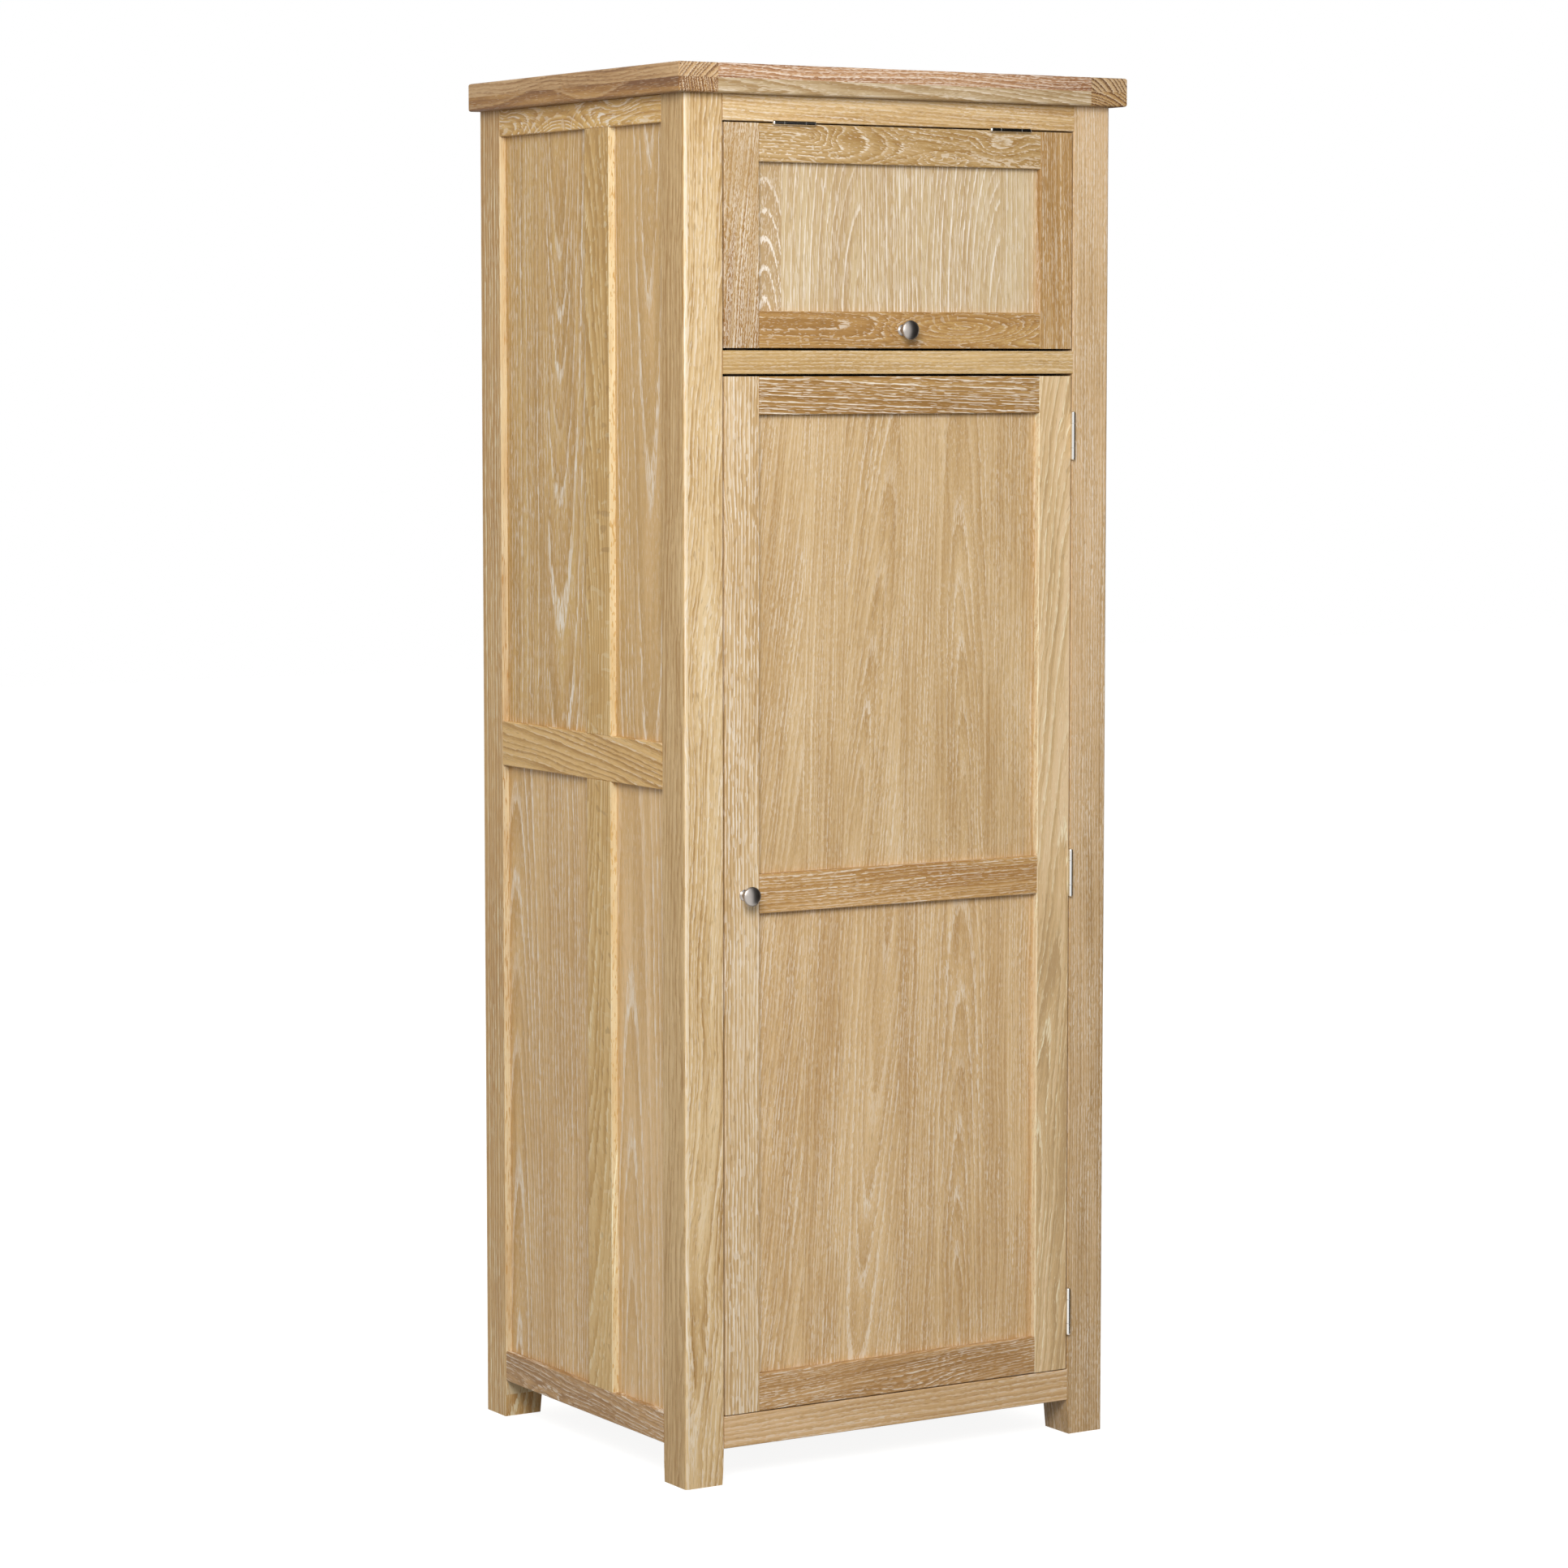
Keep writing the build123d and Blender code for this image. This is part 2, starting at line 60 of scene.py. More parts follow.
cameraData = bpy.data.cameras.new("camera")
cameraData.lens = cameraSetup["lens"]
cameraData.sensor_width = cameraSetup["sensor"]
cameraData.clip_end = 60.0
camera = bpy.data.objects.new("camera", cameraData)
camera.location = cameraSetup["place"]
camera.rotation_euler = (math.radians(90 - cameraSetup["dip"]), 0, -math.radians(cameraSetup["turn"]))
scene.collection.objects.link(camera)
scene.camera = camera
scene.view_settings.view_transform = "Standard"


# Nodes and colours

def linear(hexText):
    # an sRGB hex colour as the linear RGBA that sockets take
    parts = [int(hexText[i:i + 2], 16) / 255 for i in (0, 2, 4)]
    return tuple(p / 12.92 if p <= 0.04045 else ((p + 0.055) / 1.055) ** 2.4 for p in parts) + (1.0,)


def addNode(tree, kind, inputs=None, **settings):
    # adds a node, sets its properties, then sets or links its inputs, and returns its outputs
    node = tree.nodes.new(kind)
    for name, value in settings.items():
        setattr(node, name, value)
    for name, value in (inputs or {}).items():
        if isinstance(value, bpy.types.NodeSocket):
            tree.links.new(value, node.inputs[name])
        else:
            node.inputs[name].default_value = value
    return node.outputs


def newMaterial(name):
    material = bpy.data.materials.new(name)
    material.use_nodes = True
    material.node_tree.nodes.clear()
    return material, material.node_tree


def finishMaterial(tree, shader):
    addNode(tree, "ShaderNodeOutputMaterial", {"Surface": shader})


def dress(nodeName, material):
    # gives a CAD node its finish
    mesh = nodes[nodeName].data
    mesh.materials.clear()
    mesh.materials.append(material)


# Limed oak: planed European oak, wire brushed, its open pores filled with white wax, matt lacquer over it.
# To the eye: straw-coloured wood whose growth rings show as rows of crisp white dashes.
# The log is solid, so faces, edges and end grain of a board belong together. Rings and pores whose own
# lines would be too fine to show are drawn coarser.

oakDefaults = {
    "heart": (0.0, 60.0),       # mm from the board's middle: across, and below its face
    "lean": 0.05,               # how fast the heart sinks along the board, which gives pointed arches
    "slope": 0.0,               # how far the fibre runs out sideways
    "ring": 6.0,                # mm from ring to ring
    "wander": 5.0,              # mm
    "lime": 0.8, "open": 0.5,   # strength of the wax, and how crowded the pores are
    "stray": 0.4,               # fine pores between the rings
    "band": 1.6, "pore": 1.15, "dash": 12.0,    # mm: spring wood, and a pore's width and length
    "follow": 0.0,              # 1 where the fibre curls with the rings, as round a knot
    "even": 0.35,               # 1 where every ring is equally white
    "streak": 1.0, "contrast": 1.0, "tint": 0.0,
    "shade": 0.0,               # painted light and shade: how much paler the board gets with each metre along it, so that one end looks more lit and the other more shaded
    "hills": (),                # mm: across, along, half width, half length, height of a bulge in the log
    "rises": (),                # mm: from, to along the board, and how much deeper the heart gets
    "joints": (), "staves": (), # mm: where a glued-up board changes stave, and what each stave changes
    "tones": ("ae8a57", "c5a272", "d7ba8d"), "wax": "eee3d2",
    "shift": 0.0,               # moves the noise on, so that no two staves are alike
    "brush": 0.25,              # mm of relief left by the wire brush
}

oakLacquer = {"Roughness": 0.5, "IOR": 1.5, "Specular IOR Level": 0.35}
brushStrength = 0.6

oakSockets = {
    "Slope": "slope", "Ring": "ring", "Wander": "wander", "Lime": "lime", "Open": "open", "Stray": "stray",
    "Band": "band", "Pore": "pore", "Dash": "dash", "Follow": "follow", "Lean": "lean", "Even": "even",
    "Streak": "streak", "Contrast": "contrast", "Tint": "tint", "Shade": "shade",
}

oakClouds = {
    # smooth noise: its size in mm across, into and along the board, its seed (any number does) and detail
    "long bend": ((85, 85, 260), 3.1, 1.5),
    "short bend": ((15, 15, 70), 11.7, 1.0),
    "wax patch": ((50, 50, 120), 41.0, 1.0),
    "streak": ((8, 8, 260), 53.0, 2.0),
    "drift": ((50, 50, 380), 61.0, 1.0),
    "strand": ((1.5, 1.5, 55), 71.0, 2.0),
    "bare pore": ((0.9, 0.9, 16), 83.0, 0.5),
}

oakFigure = {
    "seedStep": 7.31,                           # keeps one board's noise well away from the next one's
    "grit": 0.55,                               # roughness of all the noise
    "longBend": 2.0, "shortBend": 0.5,          # shares of the wander
    "poreDepth": 1.2,                           # mm
    "poreNoise": (23.0, 0.6), "fineNoise": (31.0, 0.4),         # seed and detail
    "finePore": 0.9, "fineDashes": 1.5,         # width in mm, and how many fine dashes to a long one
    "fray": 2.4,                                # mm that the pores fray a ring's edge by
    "yearPace": 0.31, "yearSpread": 1.5,        # how fast wide and narrow rings take turns, and by how much
    "weakYears": 0.55,                          # white noise below this gives a year less spring wood
    "springRise": 0.3, "springFall": 0.6, "springTail": 0.45,   # mm
    "openMiddle": 0.5, "openGain": 0.2,         # where "open" changes nothing, and what it then adds
    "poreEdge": 0.055,                          # how softly a pore ends
    # fine pores fill where the noise passes a limit that "stray" lowers, and hold less wax
    "strayFrom": 0.155, "strayGain": 0.09, "strayEdge": 0.035, "strayWax": 0.5,
    # the wax is thin in patches, less so where "even" is high
    "patchFrom": -0.2, "patchTo": 0.12, "patchLeast": 0.3, "patchEven": 0.6,
    "streaks": 1.4, "drifts": 1.3, "strands": 1.1, "summer": 0.5,       # shares of the tone
    "summerFrom": 0.3, "summerMean": 0.45,      # share of the year gone, and the mean that is taken off
    "toneMiddle": 0.5,                          # 0 is the dark tone, 1 the pale one
    # brown pores where their noise is high, and shares of the relief
    "bareFrom": 0.15, "bareTo": 0.21, "bareDepth": 0.4, "bareColor": "5e4226",
    "strandRelief": 0.5, "poreRelief": 0.35,
}


def calc(tree, operation, a, b=None, c=None):
    # one step of arithmetic on numbers or sockets
    values = {i: v for i, v in enumerate((a, b, c)) if v is not None}
    return addNode(tree, "ShaderNodeMath", values, operation=operation)[0]


def ramp(tree, value, low, high, toLow=0.0, toHigh=1.0):
    # a smooth rise from toLow to toHigh as the value goes from low to high
    return addNode(tree, "ShaderNodeMapRange", {
        "Value": value, "From Min": low, "From Max": high, "To Min": toLow, "To Max": toHigh,
    }, interpolation_type="SMOOTHSTEP")[0]


def buildOakGroup(figure):
    tree = bpy.data.node_groups.new("limed oak", "ShaderNodeTree")
    for name, kind in (
        ("Board", "NodeSocketVector"),      # across, into and along the board, in mm
        *((socket, "NodeSocketFloat") for socket in ("Seed", "Heart across", "Heart below", *oakSockets)),
        *((tone, "NodeSocketColor") for tone in ("Dark", "Middle", "Pale", "Wax")),
    ):
        tree.interface.new_socket(name, in_out="INPUT", socket_type=kind)
    tree.interface.new_socket("Color", in_out="OUTPUT", socket_type="NodeSocketColor")
    tree.interface.new_socket("Height", in_out="OUTPUT", socket_type="NodeSocketFloat")
    given = tree.nodes.new("NodeGroupInput").outputs

    def do(*operation):
        return calc(tree, *operation)

    def smooth(*steps):
        return ramp(tree, *steps)

    def noiseAt(x, y, z, shift, detail):
        # smooth noise, less its mean, at a place in its own units
        seeded = do("ADD", y, do("MULTIPLY_ADD", given["Seed"], figure["seedStep"], shift))
        place = addNode(tree, "ShaderNodeCombineXYZ", {"X": x, "Y": seeded, "Z": z})[0]
        noise = addNode(tree, "ShaderNodeTexNoise", {
            "Vector": place, "Scale": 1.0, "Detail": detail, "Roughness": figure["grit"],
        })[0]
        return do("SUBTRACT", noise, 0.5)

    def cloud(name, x):
        # one of the clouds, with x as its way across the board
        sizes, shift, detail = oakClouds[name]
        scaled = (do("DIVIDE", axis, size) for axis, size in zip((x, below, along), sizes))
        return noiseAt(*scaled, shift, detail)

    def blend(factor, first, second):
        # the first colour at 0 and the second at 1
        return addNode(tree, "ShaderNodeMix", {"Factor": factor, 6: first, 7: second},
                       data_type="RGBA", clamp_factor=True)[2]

    across, below, along = addNode(tree, "ShaderNodeSeparateXYZ", {"Vector": given["Board"]})[:3]

    # the rings: distance from a heart that leans and wanders
    bends = do("MULTIPLY_ADD", cloud("short bend", across), figure["shortBend"],
               do("MULTIPLY", cloud("long bend", across), figure["longBend"]))
    wander = do("MULTIPLY", given["Wander"], bends)
    fibre = do("MULTIPLY_ADD", given["Slope"], along, across)
    straight = do("ADD", fibre, wander)
    fromHeart = do("SUBTRACT", straight, given["Heart across"])
    depth = do("ADD", do("MULTIPLY_ADD", given["Lean"], along, below), given["Heart below"])
    radius = do("SQRT", do("ADD", do("MULTIPLY", fromHeart, fromHeart), do("MULTIPLY", depth, depth)))

    # pores: long thin dashes along the fibre, or along the rings where it curls
    curled = given["Follow"]
    uncurled = do("SUBTRACT", 1.0, curled)
    poreAcross = do("ADD", do("MULTIPLY", straight, uncurled), do("MULTIPLY", radius, curled))
    poreBelow = do("ADD", do("MULTIPLY", do("DIVIDE", below, figure["poreDepth"]), uncurled),
                   do("MULTIPLY", do("DIVIDE", across, given["Dash"]), curled))
    poreAlong = do("DIVIDE", along, given["Dash"])
    pore = noiseAt(do("DIVIDE", poreAcross, given["Pore"]), poreBelow, poreAlong, *figure["poreNoise"])
    fine = noiseAt(do("DIVIDE", poreAcross, figure["finePore"]), poreBelow,
                   do("MULTIPLY", poreAlong, figure["fineDashes"]), *figure["fineNoise"])

    # where the year's first pores lie, with ragged edges made by the dashes themselves
    ragged = do("MULTIPLY_ADD", pore, figure["fray"], radius)
    years = do("DIVIDE", ragged, given["Ring"])
    uneven = addNode(tree, "ShaderNodeTexNoise", {
        "W": do("MULTIPLY_ADD", years, figure["yearPace"], given["Seed"]), "Scale": 1.0, "Detail": 0.0,
    }, noise_dimensions="1D")[0]
    rings = do("MULTIPLY_ADD", uneven, figure["yearSpread"], years)
    year = do("FLOOR", rings)
    season = do("SUBTRACT", rings, year)
    strength = addNode(tree, "ShaderNodeTexWhiteNoise", {
        "W": do("ADD", year, given["Seed"]),
    }, noise_dimensions="1D")[0]
    sinceSpring = do("MULTIPLY", season, given["Ring"])
    pastBand = do("SUBTRACT", sinceSpring, do("ADD", given["Band"], figure["springTail"]))
    spring = do("MULTIPLY", smooth(sinceSpring, 0.0, figure["springRise"]),
                smooth(pastBand, 0.0, -figure["springFall"]))
    spring = do("MULTIPLY", spring, smooth(strength, 0.0, figure["weakYears"], given["Even"], 1.0))

    # wax in the pores
    openness = do("MULTIPLY", do("SUBTRACT", given["Open"], figure["openMiddle"]), figure["openGain"])
    bandPores = do("MULTIPLY", spring, smooth(do("ADD", pore, openness), -figure["poreEdge"], 0.0))
    strayLimit = do("MULTIPLY_ADD", given["Stray"], -figure["strayGain"], figure["strayFrom"])
    strayPores = smooth(do("SUBTRACT", do("ADD", fine, openness), strayLimit), 0.0, figure["strayEdge"])
    patch = smooth(cloud("wax patch", across), figure["patchFrom"], figure["patchTo"],
                   do("MULTIPLY_ADD", given["Even"], figure["patchEven"], figure["patchLeast"]), 1.0)
    white = do("MAXIMUM", bandPores, do("MULTIPLY", strayPores, figure["strayWax"]))
    waxed = do("MULTIPLY", do("MULTIPLY", white, patch), given["Lime"])

    # tone: broad streaks, drifting bands, fine fibre and darker summer wood
    strand = cloud("strand", poreAcross)
    broad = do("MULTIPLY_ADD", cloud("streak", straight), figure["streaks"],
               do("MULTIPLY", cloud("drift", across), figure["drifts"]))
    tone = do("MULTIPLY_ADD", strand, figure["strands"], do("MULTIPLY", given["Streak"], broad))
    summer = do("SUBTRACT", smooth(season, figure["summerFrom"], 1.0), figure["summerMean"])
    tone = do("SUBTRACT", tone, do("MULTIPLY", summer, do("MULTIPLY", given["Contrast"], figure["summer"])))
    # painted light and shade: the tone rises by Shade per metre along the board, one end looking more lit,
    # the other more shaded
    tone = do("ADD", tone, do("MULTIPLY_ADD", do("MULTIPLY", given["Shade"], mm), along, given["Tint"]))
    tone = do("ADD", tone, figure["toneMiddle"])
    # dark to middle over the tone's lower half, middle to pale over its upper half
    wood = blend(do("MULTIPLY", tone, 2.0), given["Dark"], given["Middle"])
    wood = blend(do("MULTIPLY_ADD", tone, 2.0, -1.0), wood, given["Pale"])

    # a few pores kept no wax and stay brown
    bare = smooth(cloud("bare pore", poreAcross), figure["bareFrom"], figure["bareTo"])
    bare = do("MULTIPLY", bare, figure["bareDepth"])
    wood = blend(bare, wood, blend(0.5, given["Dark"], linear(figure["bareColor"])))
    color = blend(waxed, wood, given["Wax"])
    height = do("SUBTRACT", do("MULTIPLY", strand, figure["strandRelief"]),
                do("MULTIPLY", do("MAXIMUM", white, bare), figure["poreRelief"]))
    addNode(tree, "NodeGroupOutput", {"Color": color, "Height": height})
    return tree


oakGroup = buildOakGroup(oakFigure)


def byStave(tree, across, board, pick):
    # a number that changes at each glue joint
    values = [pick({**board, **stave}) for stave in board["staves"]] or [pick(board)]
    total = values[0]
    for joint, before, after in zip(board["joints"], values, values[1:]):
        if after != before:
            beyond = calc(tree, "GREATER_THAN", across, joint)
            total = calc(tree, "MULTIPLY_ADD", beyond, after - before, total)
    return total


def bulges(tree, turned, along, board, heartBelow):
    # the heart's depth with its hills, each exp(-(distance over size) squared), and its rises
    total = heartBelow
    for acrossAt, alongAt, wide, long, height in board["hills"]:
        local = addNode(tree, "ShaderNodeMapping", {
            "Vector": turned, "Scale": (1 / wide, 0, 1 / long),
            "Location": (-acrossAt / wide, 0, -alongAt / long),
        })[0]
        squared = addNode(tree, "ShaderNodeVectorMath", {0: local, 1: local}, operation="DOT_PRODUCT")[1]
        hill = calc(tree, "EXPONENT", calc(tree, "MULTIPLY", squared, -1.0))
        total = calc(tree, "MULTIPLY_ADD", hill, height, total)
    for start, end, height in board["rises"]:
        total = calc(tree, "ADD", ramp(tree, along, start, end, 0.0, height), total)
    return total


def limedOak(nodeName, seed, **changes):
    # one board's own piece of the log
    board = {**oakDefaults, **changes}
    material, tree = newMaterial("limed_oak_" + nodeName)
    low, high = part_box(nodeName)
    middle = (low + high) / 2 / mm
    place = addNode(tree, "ShaderNodeTexCoord")["Object"]
    centred = addNode(tree, "ShaderNodeMapping", {
        "Vector": place, "Scale": (1 / mm,) * 3, "Location": tuple(-middle),
    })[0]
    axes = dict(zip("XYZ", addNode(tree, "ShaderNodeSeparateXYZ", {"Vector": centred})[:3]))
    across, below, along = (axes[board[way]] for way in ("across", "below", "along"))
    turned = addNode(tree, "ShaderNodeCombineXYZ", {"X": across, "Y": below, "Z": along})[0]
    wood = tree.nodes.new("ShaderNodeGroup")
    wood.node_tree = oakGroup

    def give(socket, value):
        if isinstance(value, bpy.types.NodeSocket):
            tree.links.new(value, wood.inputs[socket])
        else:
            wood.inputs[socket].default_value = value

    give("Board", turned)
    give("Seed", byStave(tree, across, board, lambda stave: seed + stave["shift"]))
    give("Heart across", byStave(tree, across, board, lambda stave: stave["heart"][0]))
    heartBelow = byStave(tree, across, board, lambda stave: stave["heart"][1])
    give("Heart below", bulges(tree, turned, along, board, heartBelow))
    for socket, key in oakSockets.items():
        give(socket, byStave(tree, across, board, lambda stave: stave[key]))
    for socket, tone in zip(("Dark", "Middle", "Pale"), board["tones"]):
        give(socket, linear(tone))
    give("Wax", linear(board["wax"]))
    bump = addNode(tree, "ShaderNodeBump", {
        "Strength": brushStrength, "Distance": board["brush"] * mm, "Height": wood.outputs["Height"],
    })[0]
    shader = addNode(tree, "ShaderNodeBsdfPrincipled", {
        "Base Color": wood.outputs["Color"], "Normal": bump, **oakLacquer,
    })[0]
    finishMaterial(tree, shader)
    return material


# which way across, into and along a board lie
upright = {"across": "X", "below": "Y", "along": "Z"}
lying = {"across": "Z", "below": "Y", "along": "X"}
sideUpright = {"across": "Y", "below": "X", "along": "Z"}
sideLying = {"across": "Z", "below": "X", "along": "Y"}
topAcross = {"across": "Y", "below": "Z", "along": "X"}
topDeep = {"across": "X", "below": "Z", "along": "Y"}

# A narrow stave at a board's edge is its rounded corner or its edge beside a recess: paler in tone as a
# painted highlight where that edge catches the light, and whiter where the wax has filled its open pores.
oakBoards = {
    # posts, with the left one's corner in two parts: bare, then waxed and paler as a painted highlight
    "front_left_post": dict(
        upright, tones=("a7814c", "cdad7c", "dcc195"), heart=(26, 34), lean=0.03, ring=5.4, wander=15,
        lime=0.5, open=0.42, stray=0.5, dash=14, streak=1.1, contrast=0.9, shade=0.12, slope=-0.05,
        follow=0.2, joints=(-27.6, -23.0),
        staves=(
            dict(tint=-0.27, shift=5.0, heart=(-90, 60), slope=0.0, contrast=0.6, lime=0.08, shade=0.0,
                 streak=0.6),
            # painted highlight: the rounded corner, paler in tone and more waxed
            dict(tint=0.45, lime=0.85, open=1.1, stray=1.1, slope=0.0, streak=0.4, contrast=0.4,
                 dash=30),
            dict(),
        ),
    ),
    "front_right_post": dict(
        upright, tones=("aa8758", "c2a072", "d3b287"), heart=(-90, 30), lean=0.01, ring=4.2, wander=4,
        lime=0.6, stray=0.8, dash=11, streak=0.9, contrast=0.7, shade=0.34,
    ),
    "back_left_post": dict(
        sideUpright, tones=("a67b44", "bb9058", "cea971"), heart=(-90, 40), lean=0.01, ring=7.0,
        band=2.2, wander=4, lime=0.65, dash=26, streak=0.6, shade=-0.2, wax="f6efcf", joints=(-27.3,),
        staves=(
            # painted highlight: the edge beside the side panel's recess, paler in tone and more waxed
            dict(tint=0.2, shift=5.0, lime=0.9, open=1.4, stray=1.2, streak=0.3),
            dict(),
        ),
    ),
    "back_right_post": dict(
        sideUpright, tones=("a58459", "bb9b70", "cbb08a"), heart=(-60, 50), lean=-0.02, ring=6.4,
    ),
    # front rails
    "front_top_rail": dict(
        lying, tones=("ae8750", "c7a36d", "dbbc8b"), heart=(-60, 40), lean=0.02, ring=4.0, lime=0.6,
        open=0.45, stray=0.8, dash=7, contrast=0.6, slope=0.03,
    ),
    "front_middle_rail": dict(
        lying, tones=("b28e57", "c5a36d", "d5b47f"), heart=(70, 40), lean=0.01, ring=4.4, lime=0.45,
        open=0.42, stray=0.8, dash=8, contrast=0.6,
    ),
    "front_bottom_rail": dict(
        lying, tones=("b89161", "c9a575", "d9b68b"), heart=(50, 60), lean=0.02, ring=4.6, wander=6,
        lime=0.5, open=0.45, stray=0.6,
    ),
    # flap
    "flap_left_stile": dict(
        upright, tones=("956a35", "a6804d", "b79564"), heart=(-90, 30), lean=0.02, ring=3.6, wander=6,
        lime=0.7, open=0.6, stray=0.9, dash=6, slope=-0.1, streak=1.5, hills=((-30, -60, 18, 70, -14),),
    ),
    "flap_right_stile": dict(
        upright, tones=("9d7742", "ae8651", "bf9a65"), heart=(70, 40), lean=0.02, ring=4.6, lime=0.5,
        open=0.42, dash=11, slope=0.02, contrast=0.7,
    ),
    "flap_top_rail": dict(
        lying, tones=("9d7742", "b08f5b", "c2a274"), heart=(-1, 14), lean=0.01, ring=4.2, wander=8,
        stray=0.15, dash=9, follow=0.35, slope=0.06, band=0.8, even=0.5, rises=((-150, 10, 34),),
        hills=((-15, 62, 7, 30, 16), (6, -95, 14, 30, 12), (4, 150, 12, 34, 10)),
    ),
    "flap_bottom_rail": dict(
        lying, tones=("9c733e", "af864f", "c19c61"), heart=(3, 22), lean=0.0, ring=4.0, wander=6,
        lime=0.55, open=0.45, stray=0.25, dash=9, follow=0.4, slope=0.03, band=0.7,
        hills=((3, 88, 17, 105, 40),),
    ),
    "flap_panel": dict(
        upright, tones=("b7996f", "c4a97f", "d0ba94"), wax="f2e8da", lime=0.88, open=0.75, stray=0.12,
        dash=26, wander=3.5, band=1.35, ring=9.0, contrast=0.8, even=0.55,
        joints=(-176.5, -58, 36, 157),
        staves=(
            dict(heart=(-201, 34), lean=0.17, band=1.5, tint=-0.35, open=0.72, dash=8, even=0.8),
            dict(heart=(-50, 27), lean=0.234, ring=10.0, shift=3.0),
            dict(heart=(-330, 40), lean=0.0, slope=0.015, ring=6.5, shift=6.0, tint=0.06),
            dict(heart=(166, 27), lean=0.234, ring=7.5, shift=9.0),
            dict(heart=(420, 30), lean=0.0, shift=12.0, tint=0.04),
        ),
    ),
    # door, whose left stile has its lines drawn coarser, because the real ones are too fine to show
    "door_left_stile": dict(
        upright, tones=("b59364", "c8a87a", "d8bd96"), heart=(75, 30), lean=0.01, ring=5.2, band=1.5,
        lime=0.85, dash=22, follow=0.3, contrast=1.5, even=0.5,
        hills=((-34, 445, 24, 62, 34), (-40, -90, 22, 90, 14)),
    ),
    "door_right_stile": dict(
        upright, tones=("ba9a6e", "d0b081", "e0c39a"), heart=(14, 40), lean=0.04, ring=8.0, wander=16,
        lime=0.65, open=0.36, stray=0.3, dash=15, streak=1.4, slope=-0.1, shade=-0.1, wax="f6efcf",
        joints=(-24.3,),
        staves=(
            # painted highlight: the inner edge beside the panels' recess, paler in tone and more waxed
            dict(tint=0.4, shift=5.0, lime=0.9, open=1.3, stray=1.1),
            dict(),
        ),
    ),
    "door_top_rail": dict(
        lying, tones=("926b38", "a37b45", "b38d56"), heart=(-190, 30), lean=0.0, ring=5.0, band=0.9,
        wander=1.6, lime=1.0, open=0.62, stray=0.1, dash=18, slope=0.035, wax="f0e5d4", even=0.9,
    ),
    "door_middle_rail": dict(
        lying, tones=("a57843", "b78e55", "caa26d"), heart=(-110, 30), lean=0.01, ring=4.2, lime=0.75,
        open=0.52, stray=0.3, slope=-0.02, band=1.2,
    ),
    "door_bottom_rail": dict(
        lying, tones=("956e40", "ab8250", "bf9765"), heart=(-60, 26), lean=-0.03, ring=3.8, wander=7,
        lime=0.75, follow=0.3, slope=-0.05, band=0.9, hills=((-30, 20, 34, 90, 26),),
    ),
    "door_upper_panel": dict(
        upright, tones=("b5915f", "c5a474", "d3b588"), heart=(-120, 40), lean=0.02, ring=4.6, wander=6,
        lime=0.48, stray=0.8, dash=9, streak=1.15, contrast=0.8, joints=(-144, -79, 4, 60, 138),
        staves=(
            dict(slope=-0.13, tint=-0.05),
            dict(slope=-0.04, heart=(90, 40), shift=2.0, tint=0.03),
            dict(slope=-0.11, heart=(-36, 24), lean=0.06, ring=6.0, shift=4.0, tint=0.06),
            dict(slope=-0.02, heart=(120, 40), shift=6.0),
            dict(slope=0.02, heart=(98, 24), lean=0.05, ring=6.0, shift=8.0, tint=0.02),
            dict(heart=(300, 40), shift=10.0, tint=-0.1),
        ),
    ),
    "door_lower_panel": dict(
        upright, tones=("b99361", "c9a675", "d9b98a"), heart=(-120, 40), lean=0.02, ring=4.6, wander=7,
        lime=0.55, stray=0.8, dash=10, streak=1.1, contrast=0.8, joints=(-144, -79, 4, 60, 138),
        staves=(
            dict(slope=-0.1, tint=-0.03),
            dict(slope=-0.05, heart=(60, 40), shift=3.0, tint=0.04),
            dict(slope=-0.08, heart=(-36, 26), lean=-0.05, ring=6.0, shift=5.0),
            dict(slope=-0.03, heart=(120, 40), shift=7.0, tint=-0.04),
            dict(heart=(98, 24), lean=0.06, ring=6.0, shift=9.0, tint=0.03),
            dict(heart=(300, 40), shift=11.0, tint=-0.08),
        ),
    ),
    # left side
    "left_side_top_rail": dict(
        sideLying, tones=("ac7f41", "c59b59", "d8b16e"), heart=(-10, 16), lean=0.0, ring=5.0, band=1.5,
        wander=6, lime=0.9, stray=0.3, dash=16, follow=0.5,
        hills=((-40, 49, 52, 105, 62), (18, 199, 12, 15, 16), (12, -110, 16, 42, 20)),
    ),
    "left_side_middle_rail": dict(
        sideLying, tones=("aa8044", "c8a062", "dab477"), heart=(-70, 30), lean=0.04, ring=9.0, wander=9,
        lime=0.5, open=0.38, stray=0.3, slope=-0.14, contrast=1.8,
    ),
    "left_side_bottom_rail": dict(
        sideLying, tones=("946c3d", "aa8354", "c19968"), heart=(-40, 24), ring=5.6, band=1.5, wander=8,
        lime=0.75, open=0.45, dash=16, follow=0.3, slope=-0.08, hills=((-24, 100, 18, 70, 22),),
    ),
    "left_side_muntins": dict(
        sideUpright, tones=("b28b4f", "c49d5f", "d5b37a"), heart=(36, 22), lean=-0.09, ring=7.0,
        wander=11, lime=0.35, open=0.38, stray=0.3, dash=14, contrast=1.6, follow=0.5, shade=-0.5,
        wax="f6efcf", joints=(-30.3,),
        staves=(
            # painted highlight: the edge beside the panels' recess, paler in tone and more waxed, with
            # painted shade along it as well
            dict(tint=0.35, shift=5.0, lime=0.9, open=1.4, stray=1.2, streak=0.3, shade=-0.1,
                 contrast=0.4),
            dict(),
        ),
    ),
    "left_side_upper_front_panel": dict(
        sideUpright, tones=("b9935b", "c49f67", "d0ab75"), heart=(-22, 52), lean=-0.035, ring=8.0,
        wander=9, lime=0.7, open=0.45, stray=0.5, dash=18, streak=1.2,
    ),
    "left_side_upper_back_panel": dict(
